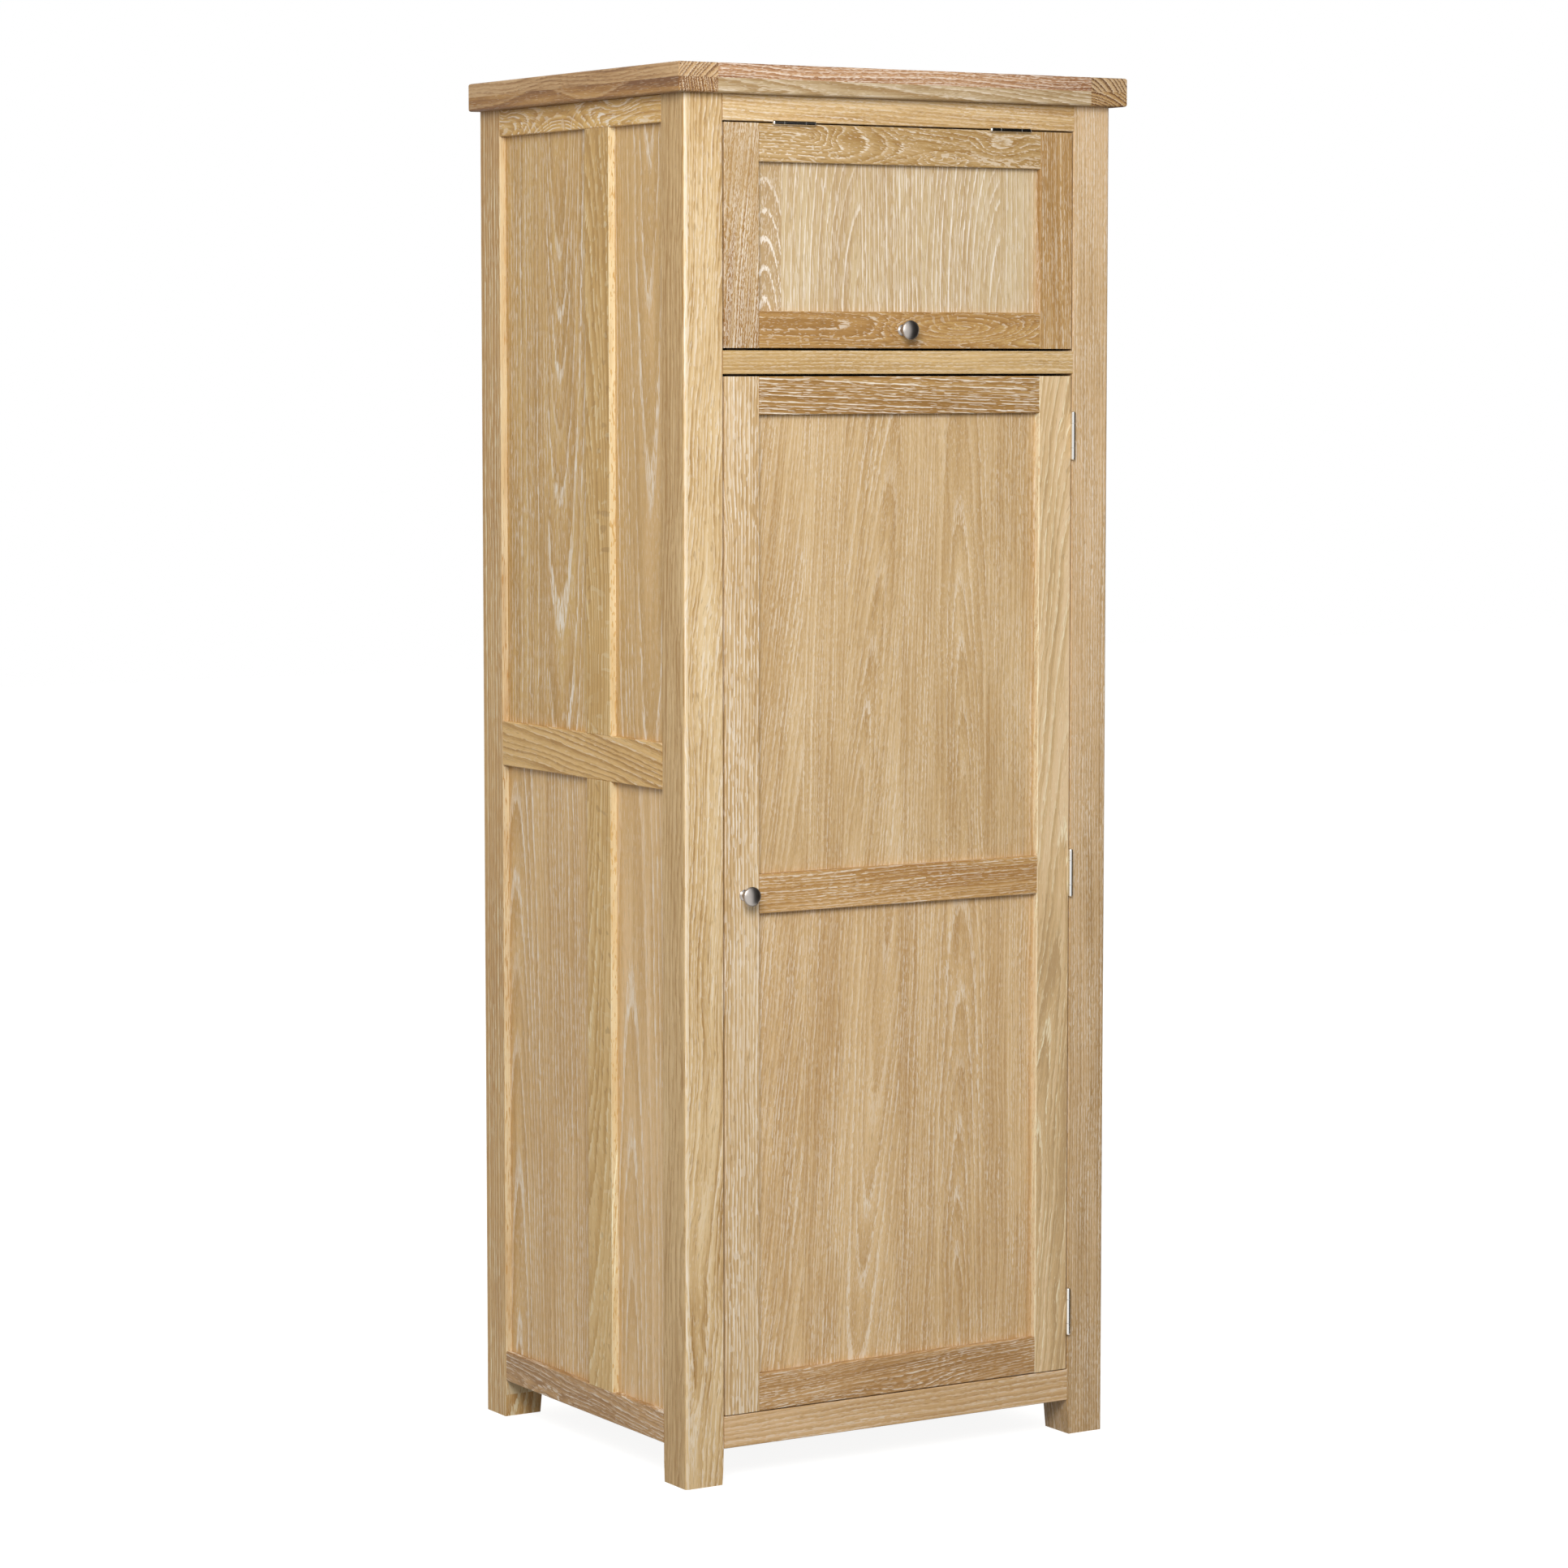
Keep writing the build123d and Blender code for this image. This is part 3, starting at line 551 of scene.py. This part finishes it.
        sideUpright, tones=("b28b4e", "c29a5e", "cfab6e"), heart=(-31, 60), lean=-0.07, ring=8.0,
        band=1.8, wander=7, lime=0.88, streak=1.3, stray=0.6, dash=18, joints=(2,),
        staves=(
            dict(),
            dict(heart=(-330, 60), lean=0.0, ring=9.0, shift=4.0),
        ),
    ),
    "left_side_lower_front_panel": dict(
        sideUpright, tones=("c7a069", "d4b07c", "e0bd8d"), heart=(30, 46), lean=0.04, ring=10.0,
        band=2.4, wander=6, lime=0.75, open=0.46, dash=22,
    ),
    "left_side_lower_back_panel": dict(
        sideUpright, tones=("bb935b", "cba46c", "dab680"), heart=(96, 40), stray=0.6, lean=0.06,
        ring=8.0, band=2.0, wander=8, lime=0.88, dash=18,
    ),
    # right side
    "right_side_top_rail": dict(
        sideLying, heart=(-10, 18), lean=0.0, wander=9, follow=0.8,
        hills=((-30, -40, 42, 90, 50), (10, 120, 14, 40, 16)),
    ),
    "right_side_middle_rail": dict(sideLying, heart=(40, 34), lean=-0.04, wander=8),
    "right_side_bottom_rail": dict(sideLying, heart=(-20, 24), lean=0.04, wander=9),
    "right_side_muntins": dict(
        sideUpright, heart=(-36, 24), lean=0.08, wander=9, lime=0.5, contrast=1.4,
    ),
    "right_side_panels": dict(
        sideUpright, heart=(-110, 60), lean=0.08, ring=13.0, band=2.2, wander=11, dash=22,
        joints=(-100, 0, 104),
        staves=(
            dict(),
            dict(heart=(-90, 60), lean=-0.02, shift=3.0, tint=0.05),
            dict(heart=(56, 90), lean=0.1, shift=6.0, tint=-0.05),
            dict(heart=(330, 50), lean=0.0, shift=9.0),
        ),
    ),
    # back and inside
    "back_top_rail": dict(lying, heart=(-30, 30), wander=7),
    "back_bottom_rail": dict(lying, heart=(30, 30), wander=7),
    "back_panel": dict(
        upright, heart=(-200, 40), lean=0.03, ring=10.0, band=2.0, wander=14, lime=0.55, dash=22,
        joints=(-170, -60, 60, 170),
        staves=(
            dict(),
            dict(heart=(-130, 80), lean=0.05, shift=3.0, tint=0.08),
            dict(heart=(10, 110), lean=-0.06, shift=6.0, tint=-0.05),
            dict(heart=(190, 50), lean=0.01, shift=9.0, tint=0.04),
            dict(heart=(300, 50), lean=0.0, shift=12.0, tint=-0.06),
        ),
    ),
    "base_board": dict(topAcross, heart=(40, 60), lean=0.02, wander=8, lime=0.45),
    "divider_board": dict(topAcross, heart=(-90, 60), lean=0.02, wander=8, lime=0.45),
    "shelves": dict(topAcross, heart=(60, 50), lean=0.03, wander=8, lime=0.45),
    "shelf_cleats": dict(topDeep, heart=(60, 50), wander=4, lime=0.3),
    # top, whose front edge has its lines drawn coarser, because the real ones are too fine to show
    "top_board": dict(
        topAcross, tones=("85593a", "a57a55", "c0966f"), heart=(-280, 40), lean=0.02, ring=4.0,
        band=1.1, wander=7, lime=0.9, open=0.62, stray=0.7, dash=9, brush=0.6, even=0.8, wax="e6d4c2",
        hills=((-282, -150, 60, 60, 4), (-282, 60, 60, 80, -5), (-282, 230, 60, 50, 3)),
        joints=(-160, -50, 70, 180),
        staves=(
            dict(),
            dict(heart=(-105, 60), lean=0.06, ring=8.0, dash=18, shift=3.0),
            dict(heart=(10, 70), lean=-0.06, ring=8.0, dash=18, shift=6.0, tint=0.08),
            dict(heart=(130, 50), lean=0.05, ring=8.0, dash=18, shift=9.0),
            dict(heart=(330, 40), lean=0.0, ring=8.0, dash=18, shift=12.0, tint=0.06),
        ),
    ),
    "top_under_front": dict(
        topAcross, tones=("a08258", "b39a74", "c6af8e"), heart=(-60, 30), lean=0.1, wander=14, lime=0.5,
        open=0.42, contrast=1.4,
    ),
    "top_under_back": dict(topAcross, heart=(50, 40), wander=6),
    "top_end_left": dict(
        topDeep, tones=("7c5733", "a77f50", "c6a275"), heart=(150, 150), lean=0.01, ring=5.0, band=0.9,
        wander=0.8, lime=0.75, open=0.55, stray=0.5, dash=14, contrast=2.4, brush=0.5, wax="e2cfb4",
        hills=((-28, -110, 60, 60, 5), (-28, 50, 60, 45, -5), (-28, 170, 60, 50, 4)), joints=(-27,),
        staves=(
            dict(heart=(58, 60), contrast=0.9, ring=4.0, lime=0.12, dash=10, tint=0.22),
            dict(tint=-0.2, lime=0.95, stray=1.0),
        ),
    ),
    "top_end_right": dict(
        topDeep, tones=("6e4c2e", "9e7c50", "bf9f76"), heart=(-58, 60), lean=0.01, band=0.9, wander=1.6,
        lime=0.6, stray=0.5, dash=16, contrast=3.0, brush=0.5, wax="e2cfb4",
    ),
    "top_under_left": dict(
        topDeep, tones=("734b26", "966a36", "b3884e"), heart=(150, -16), lean=0.04, ring=4.2, band=1.0,
        wander=0.8, lime=0.7, stray=0.3, dash=18, contrast=3.0, brush=0.5, wax="e2cfb4",
        hills=((-28, -60, 60, 70, 14), (-28, 90, 60, 60, -12)), joints=(-27,),
        staves=(
            dict(contrast=1.0, ring=9.0, heart=(60, 30), lime=0.5, tint=0.06),
            dict(ring=3.6, contrast=2.2, tint=-0.4, lime=0.9, stray=0.8),
        ),
    ),
    "top_under_right": dict(
        topDeep, tones=("6e4a2a", "9c7443", "b28c58"), heart=(-40, 110), lean=0.02, ring=4.6, band=1.0,
        wander=1.2, lime=0.7, stray=0.3, dash=18, contrast=3.0, brush=0.5, wax="e2cfb4",
    ),
}
for seed, (nodeName, board) in enumerate(oakBoards.items()):
    dress(nodeName, limedOak(nodeName, seed + 1.0, **board))
print("oak boards dressed:", len(oakBoards))


# Metals and plastic

# Each finish is uneven: its clouds' size in mm, its roughness from the smoothest to the roughest place, and
# the strength of its relief and the grain's depth in mm.

polish = {"from": 0.3, "to": 0.7, "detail": 3.0}       # the stretch of the noise that carries the change


def unevenFinish(tree, look):
    # roughness and relief that drift over a few mm, and the noise behind them
    place = addNode(tree, "ShaderNodeTexCoord")["Object"]
    noise = addNode(tree, "ShaderNodeTexNoise", {
        "Vector": place, "Scale": 1 / (look["cloud"] * mm), "Detail": polish["detail"],
    })[0]
    rough = addNode(tree, "ShaderNodeMapRange", {
        "Value": noise, "From Min": polish["from"], "From Max": polish["to"],
        "To Min": look["smooth"], "To Max": look["rough"],
    })[0]
    bump = addNode(tree, "ShaderNodeBump", {
        "Strength": look["bump"], "Distance": look["grain"] * mm, "Height": noise,
    })[0]
    return rough, bump, noise


def metal(name, look):
    material, tree = newMaterial(name)
    rough, bump, noise = unevenFinish(tree, look)
    finishMaterial(tree, addNode(tree, "ShaderNodeBsdfPrincipled", {
        "Base Color": linear(look["color"]), "Metallic": 1.0, "Roughness": rough, "Normal": bump,
    })[0])
    return material


def mouldedPlastic(name, look):
    material, tree = newMaterial(name)
    rough, bump, noise = unevenFinish(tree, look)
    color = addNode(tree, "ShaderNodeMix", {
        "Factor": noise, 6: linear(look["dark"]), 7: linear(look["pale"]),
    }, data_type="RGBA")[2]
    finishMaterial(tree, addNode(tree, "ShaderNodeBsdfPrincipled", {
        "Base Color": color, "Roughness": rough, "IOR": look["IOR"], "Normal": bump,
    })[0])
    return material


metals = {
    # brushed and lacquered nickel on zinc: a soft warm grey gleam
    "satin_nickel": {"color": "b1aaa4", "cloud": 0.5, "smooth": 0.28, "rough": 0.38,
                     "bump": 0.25, "grain": 0.01},
    # bright nickel plate on rolled steel: sharper and whiter
    "nickel_plate": {"color": "e4e2de", "cloud": 0.8, "smooth": 0.08, "rough": 0.16,
                     "bump": 0.25, "grain": 0.01},
    # zinc-plated mild steel: duller, slightly blue
    "zinc_plated_steel": {"color": "b4b6b8", "cloud": 1.2, "smooth": 0.3, "rough": 0.48,
                          "bump": 0.25, "grain": 0.02},
}
satinNickel, nickelPlate, zincSteel = (metal(name, look) for name, look in metals.items())

# moulded ABS of the catches: brown with a fine spark-eroded texture
brownAbs = mouldedPlastic("brown_moulded_abs", {
    "dark": "4a3220", "pale": "5a3f2a", "IOR": 1.53, "cloud": 0.6, "smooth": 0.42, "rough": 0.56,
    "bump": 0.3, "grain": 0.03,
})

for nodeName in ("door_hinge_frame_leaves", "door_hinge_moving_leaves",
                 "flap_hinge_frame_leaves", "flap_hinge_moving_leaves"):
    dress(nodeName, nickelPlate)
for nodeName in ("door_strike", "flap_strike"):
    dress(nodeName, zincSteel)
dress("catches", brownAbs)
print("metals dressed")


# Turned pieces: knobs, hinge barrels, pins and screws

def turned(profile, origin, axis, sides=40, relief=None):
    # Carries a profile of (distance along the axis, radius) round a full turn. The point at turn t is
    # origin + distance * axis + radius * (cos t * first + sin t * second), both square to the axis.
    # A profile that starts and ends on the axis is closed there, and any other is joined end to start.
    # relief(u, v, distance) says how far the point u, v from the axis moves along it.
    profile = np.asarray(profile, float)
    axis = np.asarray(axis, float)
    first = np.array((0.0, 0.0, 1.0)) if abs(axis[2]) < 0.5 else np.array((1.0, 0.0, 0.0))
    second = np.cross(axis, first)
    capped = profile[0, 1] == 0 and profile[-1, 1] == 0
    rows = profile[1:-1] if capped else profile
    turn = np.arange(sides) * 2 * np.pi / sides
    u = rows[:, 1, None] * np.cos(turn)
    v = rows[:, 1, None] * np.sin(turn)
    distance = np.repeat(rows[:, :1], sides, axis=1)
    if relief is not None:
        distance = distance + relief(u, v, distance)
    points = distance[..., None] * axis + u[..., None] * first + v[..., None] * second
    points = points.reshape(-1, 3)
    count = len(rows)
    steps = count - 1 if capped else count
    row, side = np.meshgrid(np.arange(steps), np.arange(sides), indexing="ij")
    nextRow, nextSide = (row + 1) % count, (side + 1) % sides
    corners = (row * sides + side, row * sides + nextSide,
               nextRow * sides + nextSide, nextRow * sides + side)
    faces = np.stack(corners, -1).reshape(-1, 4).tolist()
    if capped:
        start, end = len(points), len(points) + 1
        ends = np.array([profile[0, 0] * axis, profile[-1, 0] * axis])
        if relief is not None:
            ends[1] += axis * relief(np.zeros(1), np.zeros(1), profile[-1:, 0])
        points = np.concatenate([points, ends])
        ring = np.arange(sides)
        after = (ring + 1) % sides
        last = (count - 1) * sides
        faces += np.stack((np.full(sides, start), after, ring), -1).tolist()
        faces += np.stack((last + ring, last + after, np.full(sides, end)), -1).tolist()
    return (points + np.asarray(origin, float)) * mm, faces


def buildPiece(name, parts, material, body, stands=(), sharp=38):
    # joins the parts into one mesh, with its normals outwards and its edges over so many degrees kept sharp
    vertices, faces, base = [], [], 0
    for points, polygons in parts:
        vertices.append(points)
        faces += [[base + corner for corner in polygon] for polygon in polygons]
        base += len(points)
    mesh = bpy.data.meshes.new(name)
    mesh.from_pydata(np.concatenate(vertices).tolist(), [], faces)
    work = bmesh.new()
    work.from_mesh(mesh)
    bmesh.ops.recalc_face_normals(work, faces=work.faces)
    work.to_mesh(mesh)
    work.free()
    mesh.shade_smooth()
    mesh.set_sharp_from_angle(angle=math.radians(sharp))
    mesh.materials.append(material)
    piece = bpy.data.objects.new(name, mesh)
    scene.collection.objects.link(piece)
    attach(piece, body)
    if stands:
        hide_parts(*stands)
    return piece


def arc(centre, size, start, end, steps):
    # an ellipse's arc from start to end degrees: centre + size * (cos, sin), as (distance, radius) rows
    angle = np.radians(np.linspace(start, end, steps))
    return np.stack([centre[0] + size[0] * np.cos(angle), centre[1] + size[1] * np.sin(angle)], -1)


knobShape = {
    # mm from the seat along the axis, then radii, then how finely each part is drawn
    "footThick": 1.6, "footRound": 0.7, "hollow": 2.4, "hollowReach": 2.2, "neckEnd": 8.0,
    "widest": 18.4, "rim": 1.5, "stepBack": 0.35, "edge": 21.0, "crown": 3.0,
    "foot": 7.2, "neck": 4.6, "radius": 12.5, "rimRound": 0.5, "ease": 0.1, "stepDown": 0.55,
    "faceRadius": 11.75, "swell": 2.1,
    "footSteps": 7, "flareSteps": 16, "rimSteps": 9, "faceSteps": 14, "sides": 64,
}


def knobProfile(k):
    # foot with a rounded edge, a hollow neck that swells as a power of the distance, a rounded rim,
    # a fine turned step and a face whose height falls with the square of the radius
    edge = k["foot"] - k["footRound"]
    swell = np.linspace(0, 1, k["flareSteps"])
    flare = np.stack([k["neckEnd"] + swell * (k["widest"] - k["neckEnd"]),
                      k["neck"] + (k["radius"] - k["neck"] - k["ease"]) * swell ** k["swell"]], -1)
    reach = np.linspace(1, 0, k["faceSteps"])
    face = np.stack([k["edge"] + k["crown"] * (1 - reach ** 2), k["faceRadius"] * reach], -1)
    return np.concatenate([
        [(0, 0), (0, edge)],
        arc((k["footThick"] / 2, edge), (-k["footThick"] / 2, k["footRound"]), 20, 160, k["footSteps"]),
        arc((k["footThick"] + k["hollow"], edge), (-k["hollowReach"], -(edge - k["neck"])), 0, 90,
            k["footSteps"]),
        flare,
        arc((k["widest"] + k["rim"], k["radius"] - k["rimRound"]), (-k["rim"], k["rimRound"]), 10, 180,
            k["rimSteps"]),
        [(k["edge"] - k["stepBack"], k["radius"] - k["stepDown"] - k["ease"])],
        face,
    ])


for nodeName, body in (("door_knob", "door"), ("flap_knob", "flap")):
    low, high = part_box(nodeName)
    seat = ((low.x + high.x) / 2 / mm, high.y / mm, (low.z + high.z) / 2 / mm)
    buildPiece("turned_" + nodeName, [turned(knobProfile(knobShape), seat, (0, -1, 0), knobShape["sides"])],
               satinNickel, body, [nodeName], sharp=50)

hinge = {
    # mm: half a hinge's length, its domed tips, and the radii of barrel, bore and pin
    "half": 30.0, "tip": 2.0, "radius": 2.95, "bore": 1.58, "pin": 1.5,
    "ease": 0.3, "tipEase": 0.1, "play": 0.05, "domeSteps": 8,
    # where the runs of barrel start and end: the fixed leaf's two and the moving leaf's one
    "outer": ((-30.02, -16.12), (16.12, 30.02)), "middle": ((-15.88, 15.88),),
    # screws: from one to the next, how far behind the pin, and how thick and how deeply let in a leaf is
    "leafPitch": 21.0, "leafDepth": 12.7, "leafThick": 1.2, "leafSunk": 0.6,
}
hingeSets = {
    # which way the pins lie, the way from a pin into the fixed wood, and the gap round the door in mm
    "door": {"axis": (0, 0, 1), "wood": (1, 0, 0), "gap": 2.0},
    "flap": {"axis": (1, 0, 0), "wood": (0, 0, 1), "gap": 2.0},
}


def middlesOf(nodeName, axis, length):
    # the middle, to 0.001 mm, of each of a node's like pieces, which stand further apart along the axis
    # than their own length
    node = nodes[nodeName]
    points = np.array([node.matrix_world @ vertex.co for vertex in node.data.vertices]) / mm
    along = points @ np.array(axis, float)
    order = np.argsort(along)
    gaps = np.flatnonzero(np.diff(along[order]) > length) + 1
    return [np.round((group.min(0) + group.max(0)) / 2, 3) for group in np.split(points[order], gaps)]


for setName, side in hingeSets.items():
    side["at"] = middlesOf(setName + "_hinge_pins", side["axis"], 2 * (hinge["half"] + hinge["tip"]))
    print(setName, "hinge pins at", [middle.tolist() for middle in side["at"]])


def barrelProfile(start, end):
    # a sleeve with eased rims round its bore
    r, e, b = hinge["radius"], hinge["ease"], hinge["bore"]
    return [(start, b), (start, r - e), (start + e, r), (end - e, r), (end, r - e), (end, b)]


def pinProfile():
    # a pin whose ends swell into domed tips as wide as the barrel
    half, tip = hinge["half"] + hinge["play"], hinge["tip"] - hinge["play"]
    r, e, pin = hinge["radius"], hinge["tipEase"], hinge["pin"]
    dome = arc((half, 0), (tip, r), 90, 0, hinge["domeSteps"])[1:-1]
    end = np.concatenate([[(half, pin), (half, r - e), (half + e, r)], dome, [(half + tip, 0)]])
    return np.concatenate([(end * (-1, 1))[::-1], end])


recess = {"blade": 0.45, "edge": 0.15, "reach": 1.6, "fade": 0.2, "depth": 0.7}


def crossRecess(above):
    # a cross sunk into the head where either side of the blade is nearer than its half width and the
    # middle nearer than its reach, from the given distance along the axis on
    def relief(u, v, distance):
        near = np.clip((recess["blade"] - np.minimum(np.abs(u), np.abs(v))) / recess["edge"], 0, 1)
        inside = np.clip((recess["reach"] - np.hypot(u, v)) / recess["fade"], 0, 1)
        return -recess["depth"] * near * inside * (distance > above)
    return relief


screw = {
    # (distance from the leaf's face, radius): point, shank and countersink, all in mm
    "shank": ((-14.0, 0), (-11.5, 1.0), (-3.0, 1.2), (-1.3, 1.3), (-0.15, 2.55), (0.02, 2.5)),
    # the face, in rings fine enough for the cross
    "face": 0.04, "rings": (2.0, 1.6, 1.3, 1.0, 0.75, 0.5, 0.25, 0), "recessFrom": -0.05, "sides": 32,
}
knobBolt = {
    # the same, for a pan head that stands on the inner face: its dome is an ellipse's arc
    "shank": ((-40.0, 0), (-40.0, 1.9), (-2.2, 1.9), (-2.2, 4.0), (-1.0, 4.0)),
    "dome": 1.0, "radius": 4.0, "domeSteps": 9, "sides": 32,
}


def screwProfile():
    # countersunk, from the point to the middle of the face
    return [*screw["shank"], *((screw["face"], ring) for ring in screw["rings"])]


def boltProfile():
    # pan headed, from the far end to the top of the dome
    dome = arc((-knobBolt["dome"], 0), (knobBolt["dome"], knobBolt["radius"]), 75, 0, knobBolt["domeSteps"])
    dome[-1, 1] = 0
    return np.concatenate([knobBolt["shank"], dome])


def screwParts(side, woods):
    # three screws in each leaf, in the face that looks across the gap; woods is 1 in the fixed wood
    toWood = np.array(side["wood"], float) * woods
    toFace = side["gap"] / 2 + hinge["leafSunk"] - hinge["leafThick"]
    parts = []
    for centre in side["at"]:
        for step in (-1, 0, 1):
            head = (centre + step * hinge["leafPitch"] * np.array(side["axis"])
                    + toWood * toFace + (0, hinge["leafDepth"], 0))
            parts.append(turned(screwProfile(), head, -toWood, screw["sides"],
                                crossRecess(screw["recessFrom"])))
    return parts


for setName, side in hingeSets.items():
    fixed, moving = ([turned(barrelProfile(*run), centre, side["axis"])
                      for centre in side["at"] for run in hinge[runs]] for runs in ("outer", "middle"))
    pins = [turned(pinProfile(), centre, side["axis"]) for centre in side["at"]]
    buildPiece(setName + "_hinge_outer_barrels", fixed, nickelPlate, "cabinet")
    buildPiece(setName + "_hinge_middle_barrels", moving, nickelPlate, setName)
    buildPiece(setName + "_hinge_turned_pins", pins, nickelPlate, "cabinet",
               [setName + "_hinge_pins"])

buildPiece("turned_frame_hinge_screws",
           [part for side in hingeSets.values() for part in screwParts(side, 1)],
           nickelPlate, "cabinet", ["frame_hinge_screws"])
for setName, side in hingeSets.items():
    # the knob's bolt goes with the screws of its door
    low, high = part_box(setName + "_knob")
    inner = ((low.x + high.x) / 2 / mm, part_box(setName + "_screws")[1].y / mm, (low.z + high.z) / 2 / mm)
    bolt = turned(boltProfile(), inner, (0, 1, 0), knobBolt["sides"], crossRecess(-knobBolt["dome"]))
    buildPiece("turned_" + setName + "_screws", screwParts(side, -1) + [bolt],
               nickelPlate, setName, [setName + "_screws"])
print("hardware turned")


# Floor, world and lamps

def seenRays(tree):
    # 1 for what the camera sees directly, in metal or through glass, and 0 for the light on the object
    rays = addNode(tree, "ShaderNodeLightPath")
    seen = calc(tree, "MAXIMUM", rays["Is Camera Ray"], rays["Is Glossy Ray"])
    return calc(tree, "MAXIMUM", seen, rays["Is Transmission Ray"])


floorSetup = {"reach": 14.0, "color": "8c8c8a", "glow": 0.9}

floorMesh = bpy.data.meshes.new("studio_floor")
reach = floorSetup["reach"]
floorMesh.from_pydata([(-reach, -reach, 0), (reach, -reach, 0), (reach, reach, 0), (-reach, reach, 0)], [],
                      [(0, 1, 2, 3)])
floor = bpy.data.objects.new("studio_floor", floorMesh)
scene.collection.objects.link(floor)

# matt painted board: seen pure white where it is lit, and a little grey where the cabinet shades it
floorMaterial, floorTree = newMaterial("painted_studio_floor")
paint = addNode(floorTree, "ShaderNodeBsdfDiffuse", {"Color": linear(floorSetup["color"])})[0]
glow = addNode(floorTree, "ShaderNodeEmission", {
    "Strength": calc(floorTree, "MULTIPLY", seenRays(floorTree), floorSetup["glow"]),
})[0]
finishMaterial(floorTree, addNode(floorTree, "ShaderNodeAddShader", {0: paint, 1: glow})[0])
floorMesh.materials.append(floorMaterial)

# the studio's unlit right side, seen only as a reflection: it gives metal its dark edge
cardSetup = {
    "from": 8, "dark": 31, "to": 150,       # degrees round from the front: its edge, fully dark, its end
    "steps": 12,
    "near": 0.9, "away": 4.0, "foot": 0.01, "height": 9.0, "shade": "1a1816",
}
steps = cardSetup["steps"]
cardTurn = np.radians(np.linspace(cardSetup["from"], cardSetup["to"], steps + 1))
cardWay = np.stack([np.sin(cardTurn), -np.cos(cardTurn), cardTurn * 0], -1)
# a strip of floor from near to away, then a wall: way * distance + height, row by row
cardRows = [cardWay * distance + (0, 0, height) for distance, height in
            ((cardSetup["near"], cardSetup["foot"]), (cardSetup["away"], cardSetup["foot"]),
             (cardSetup["away"], cardSetup["height"]))]
cardMesh = bpy.data.meshes.new("studio_dark_card")
cardMesh.from_pydata(np.concatenate(cardRows).tolist(), [],
                     [(i, i + 1, i + steps + 2, i + steps + 1) for row in (0, steps + 1)
                      for i in range(row, row + steps)])
card = bpy.data.objects.new("studio_dark_card", cardMesh)
scene.collection.objects.link(card)
card.visible_camera = card.visible_diffuse = card.visible_shadow = card.visible_transmission = False
# graded from white at its edge to dark, by the angle round from the front
cardMaterial, cardTree = newMaterial("dark_studio_card")
cardPlace = addNode(cardTree, "ShaderNodeSeparateXYZ", {
    "Vector": addNode(cardTree, "ShaderNodeTexCoord")["Object"],
})
cardAngle = calc(cardTree, "ARCTAN2", cardPlace[0], calc(cardTree, "MULTIPLY", cardPlace[1], -1.0))
cardGrade = ramp(cardTree, cardAngle, math.radians(cardSetup["from"]), math.radians(cardSetup["dark"]))
cardColor = addNode(cardTree, "ShaderNodeMix", {
    "Factor": cardGrade, 6: (1, 1, 1, 1), 7: linear(cardSetup["shade"]),
}, data_type="RGBA")[2]
finishMaterial(cardTree, addNode(cardTree, "ShaderNodeEmission", {"Color": cardColor})[0])
cardMesh.materials.append(cardMaterial)

worldSetup = {"light": 0.52, "seen": 1.0}
world = bpy.data.worlds.new("studio")
world.use_nodes = True
worldTree = world.node_tree
worldTree.nodes.clear()
level = addNode(worldTree, "ShaderNodeMapRange", {
    "Value": seenRays(worldTree), "To Min": worldSetup["light"], "To Max": worldSetup["seen"],
})[0]
backdrop = addNode(worldTree, "ShaderNodeBackground", {"Color": (1, 1, 1, 1), "Strength": level})[0]
addNode(worldTree, "ShaderNodeOutputWorld", {"Surface": backdrop})
scene.world = world

lamps = {
    "key": {"place": (-2.0, -2.9, 2.6), "aim": (0, 0, 1.3), "size": 1.6, "power": 122},
    "rear": {"place": (2.6, 3.0, 2.4), "aim": (0, 0, 1.0), "size": 2.2, "power": 85},
}
for name, lamp in lamps.items():
    light = bpy.data.lights.new(name, "AREA")
    light.shape = "SQUARE"
    light.size = lamp["size"]
    light.energy = lamp["power"]
    holder = bpy.data.objects.new(name, light)
    holder.location = lamp["place"]
    direction = Vector(lamp["aim"]) - Vector(lamp["place"])
    holder.rotation_euler = direction.to_track_quat("-Z", "Y").to_euler()
    scene.collection.objects.link(holder)
print("studio lit")
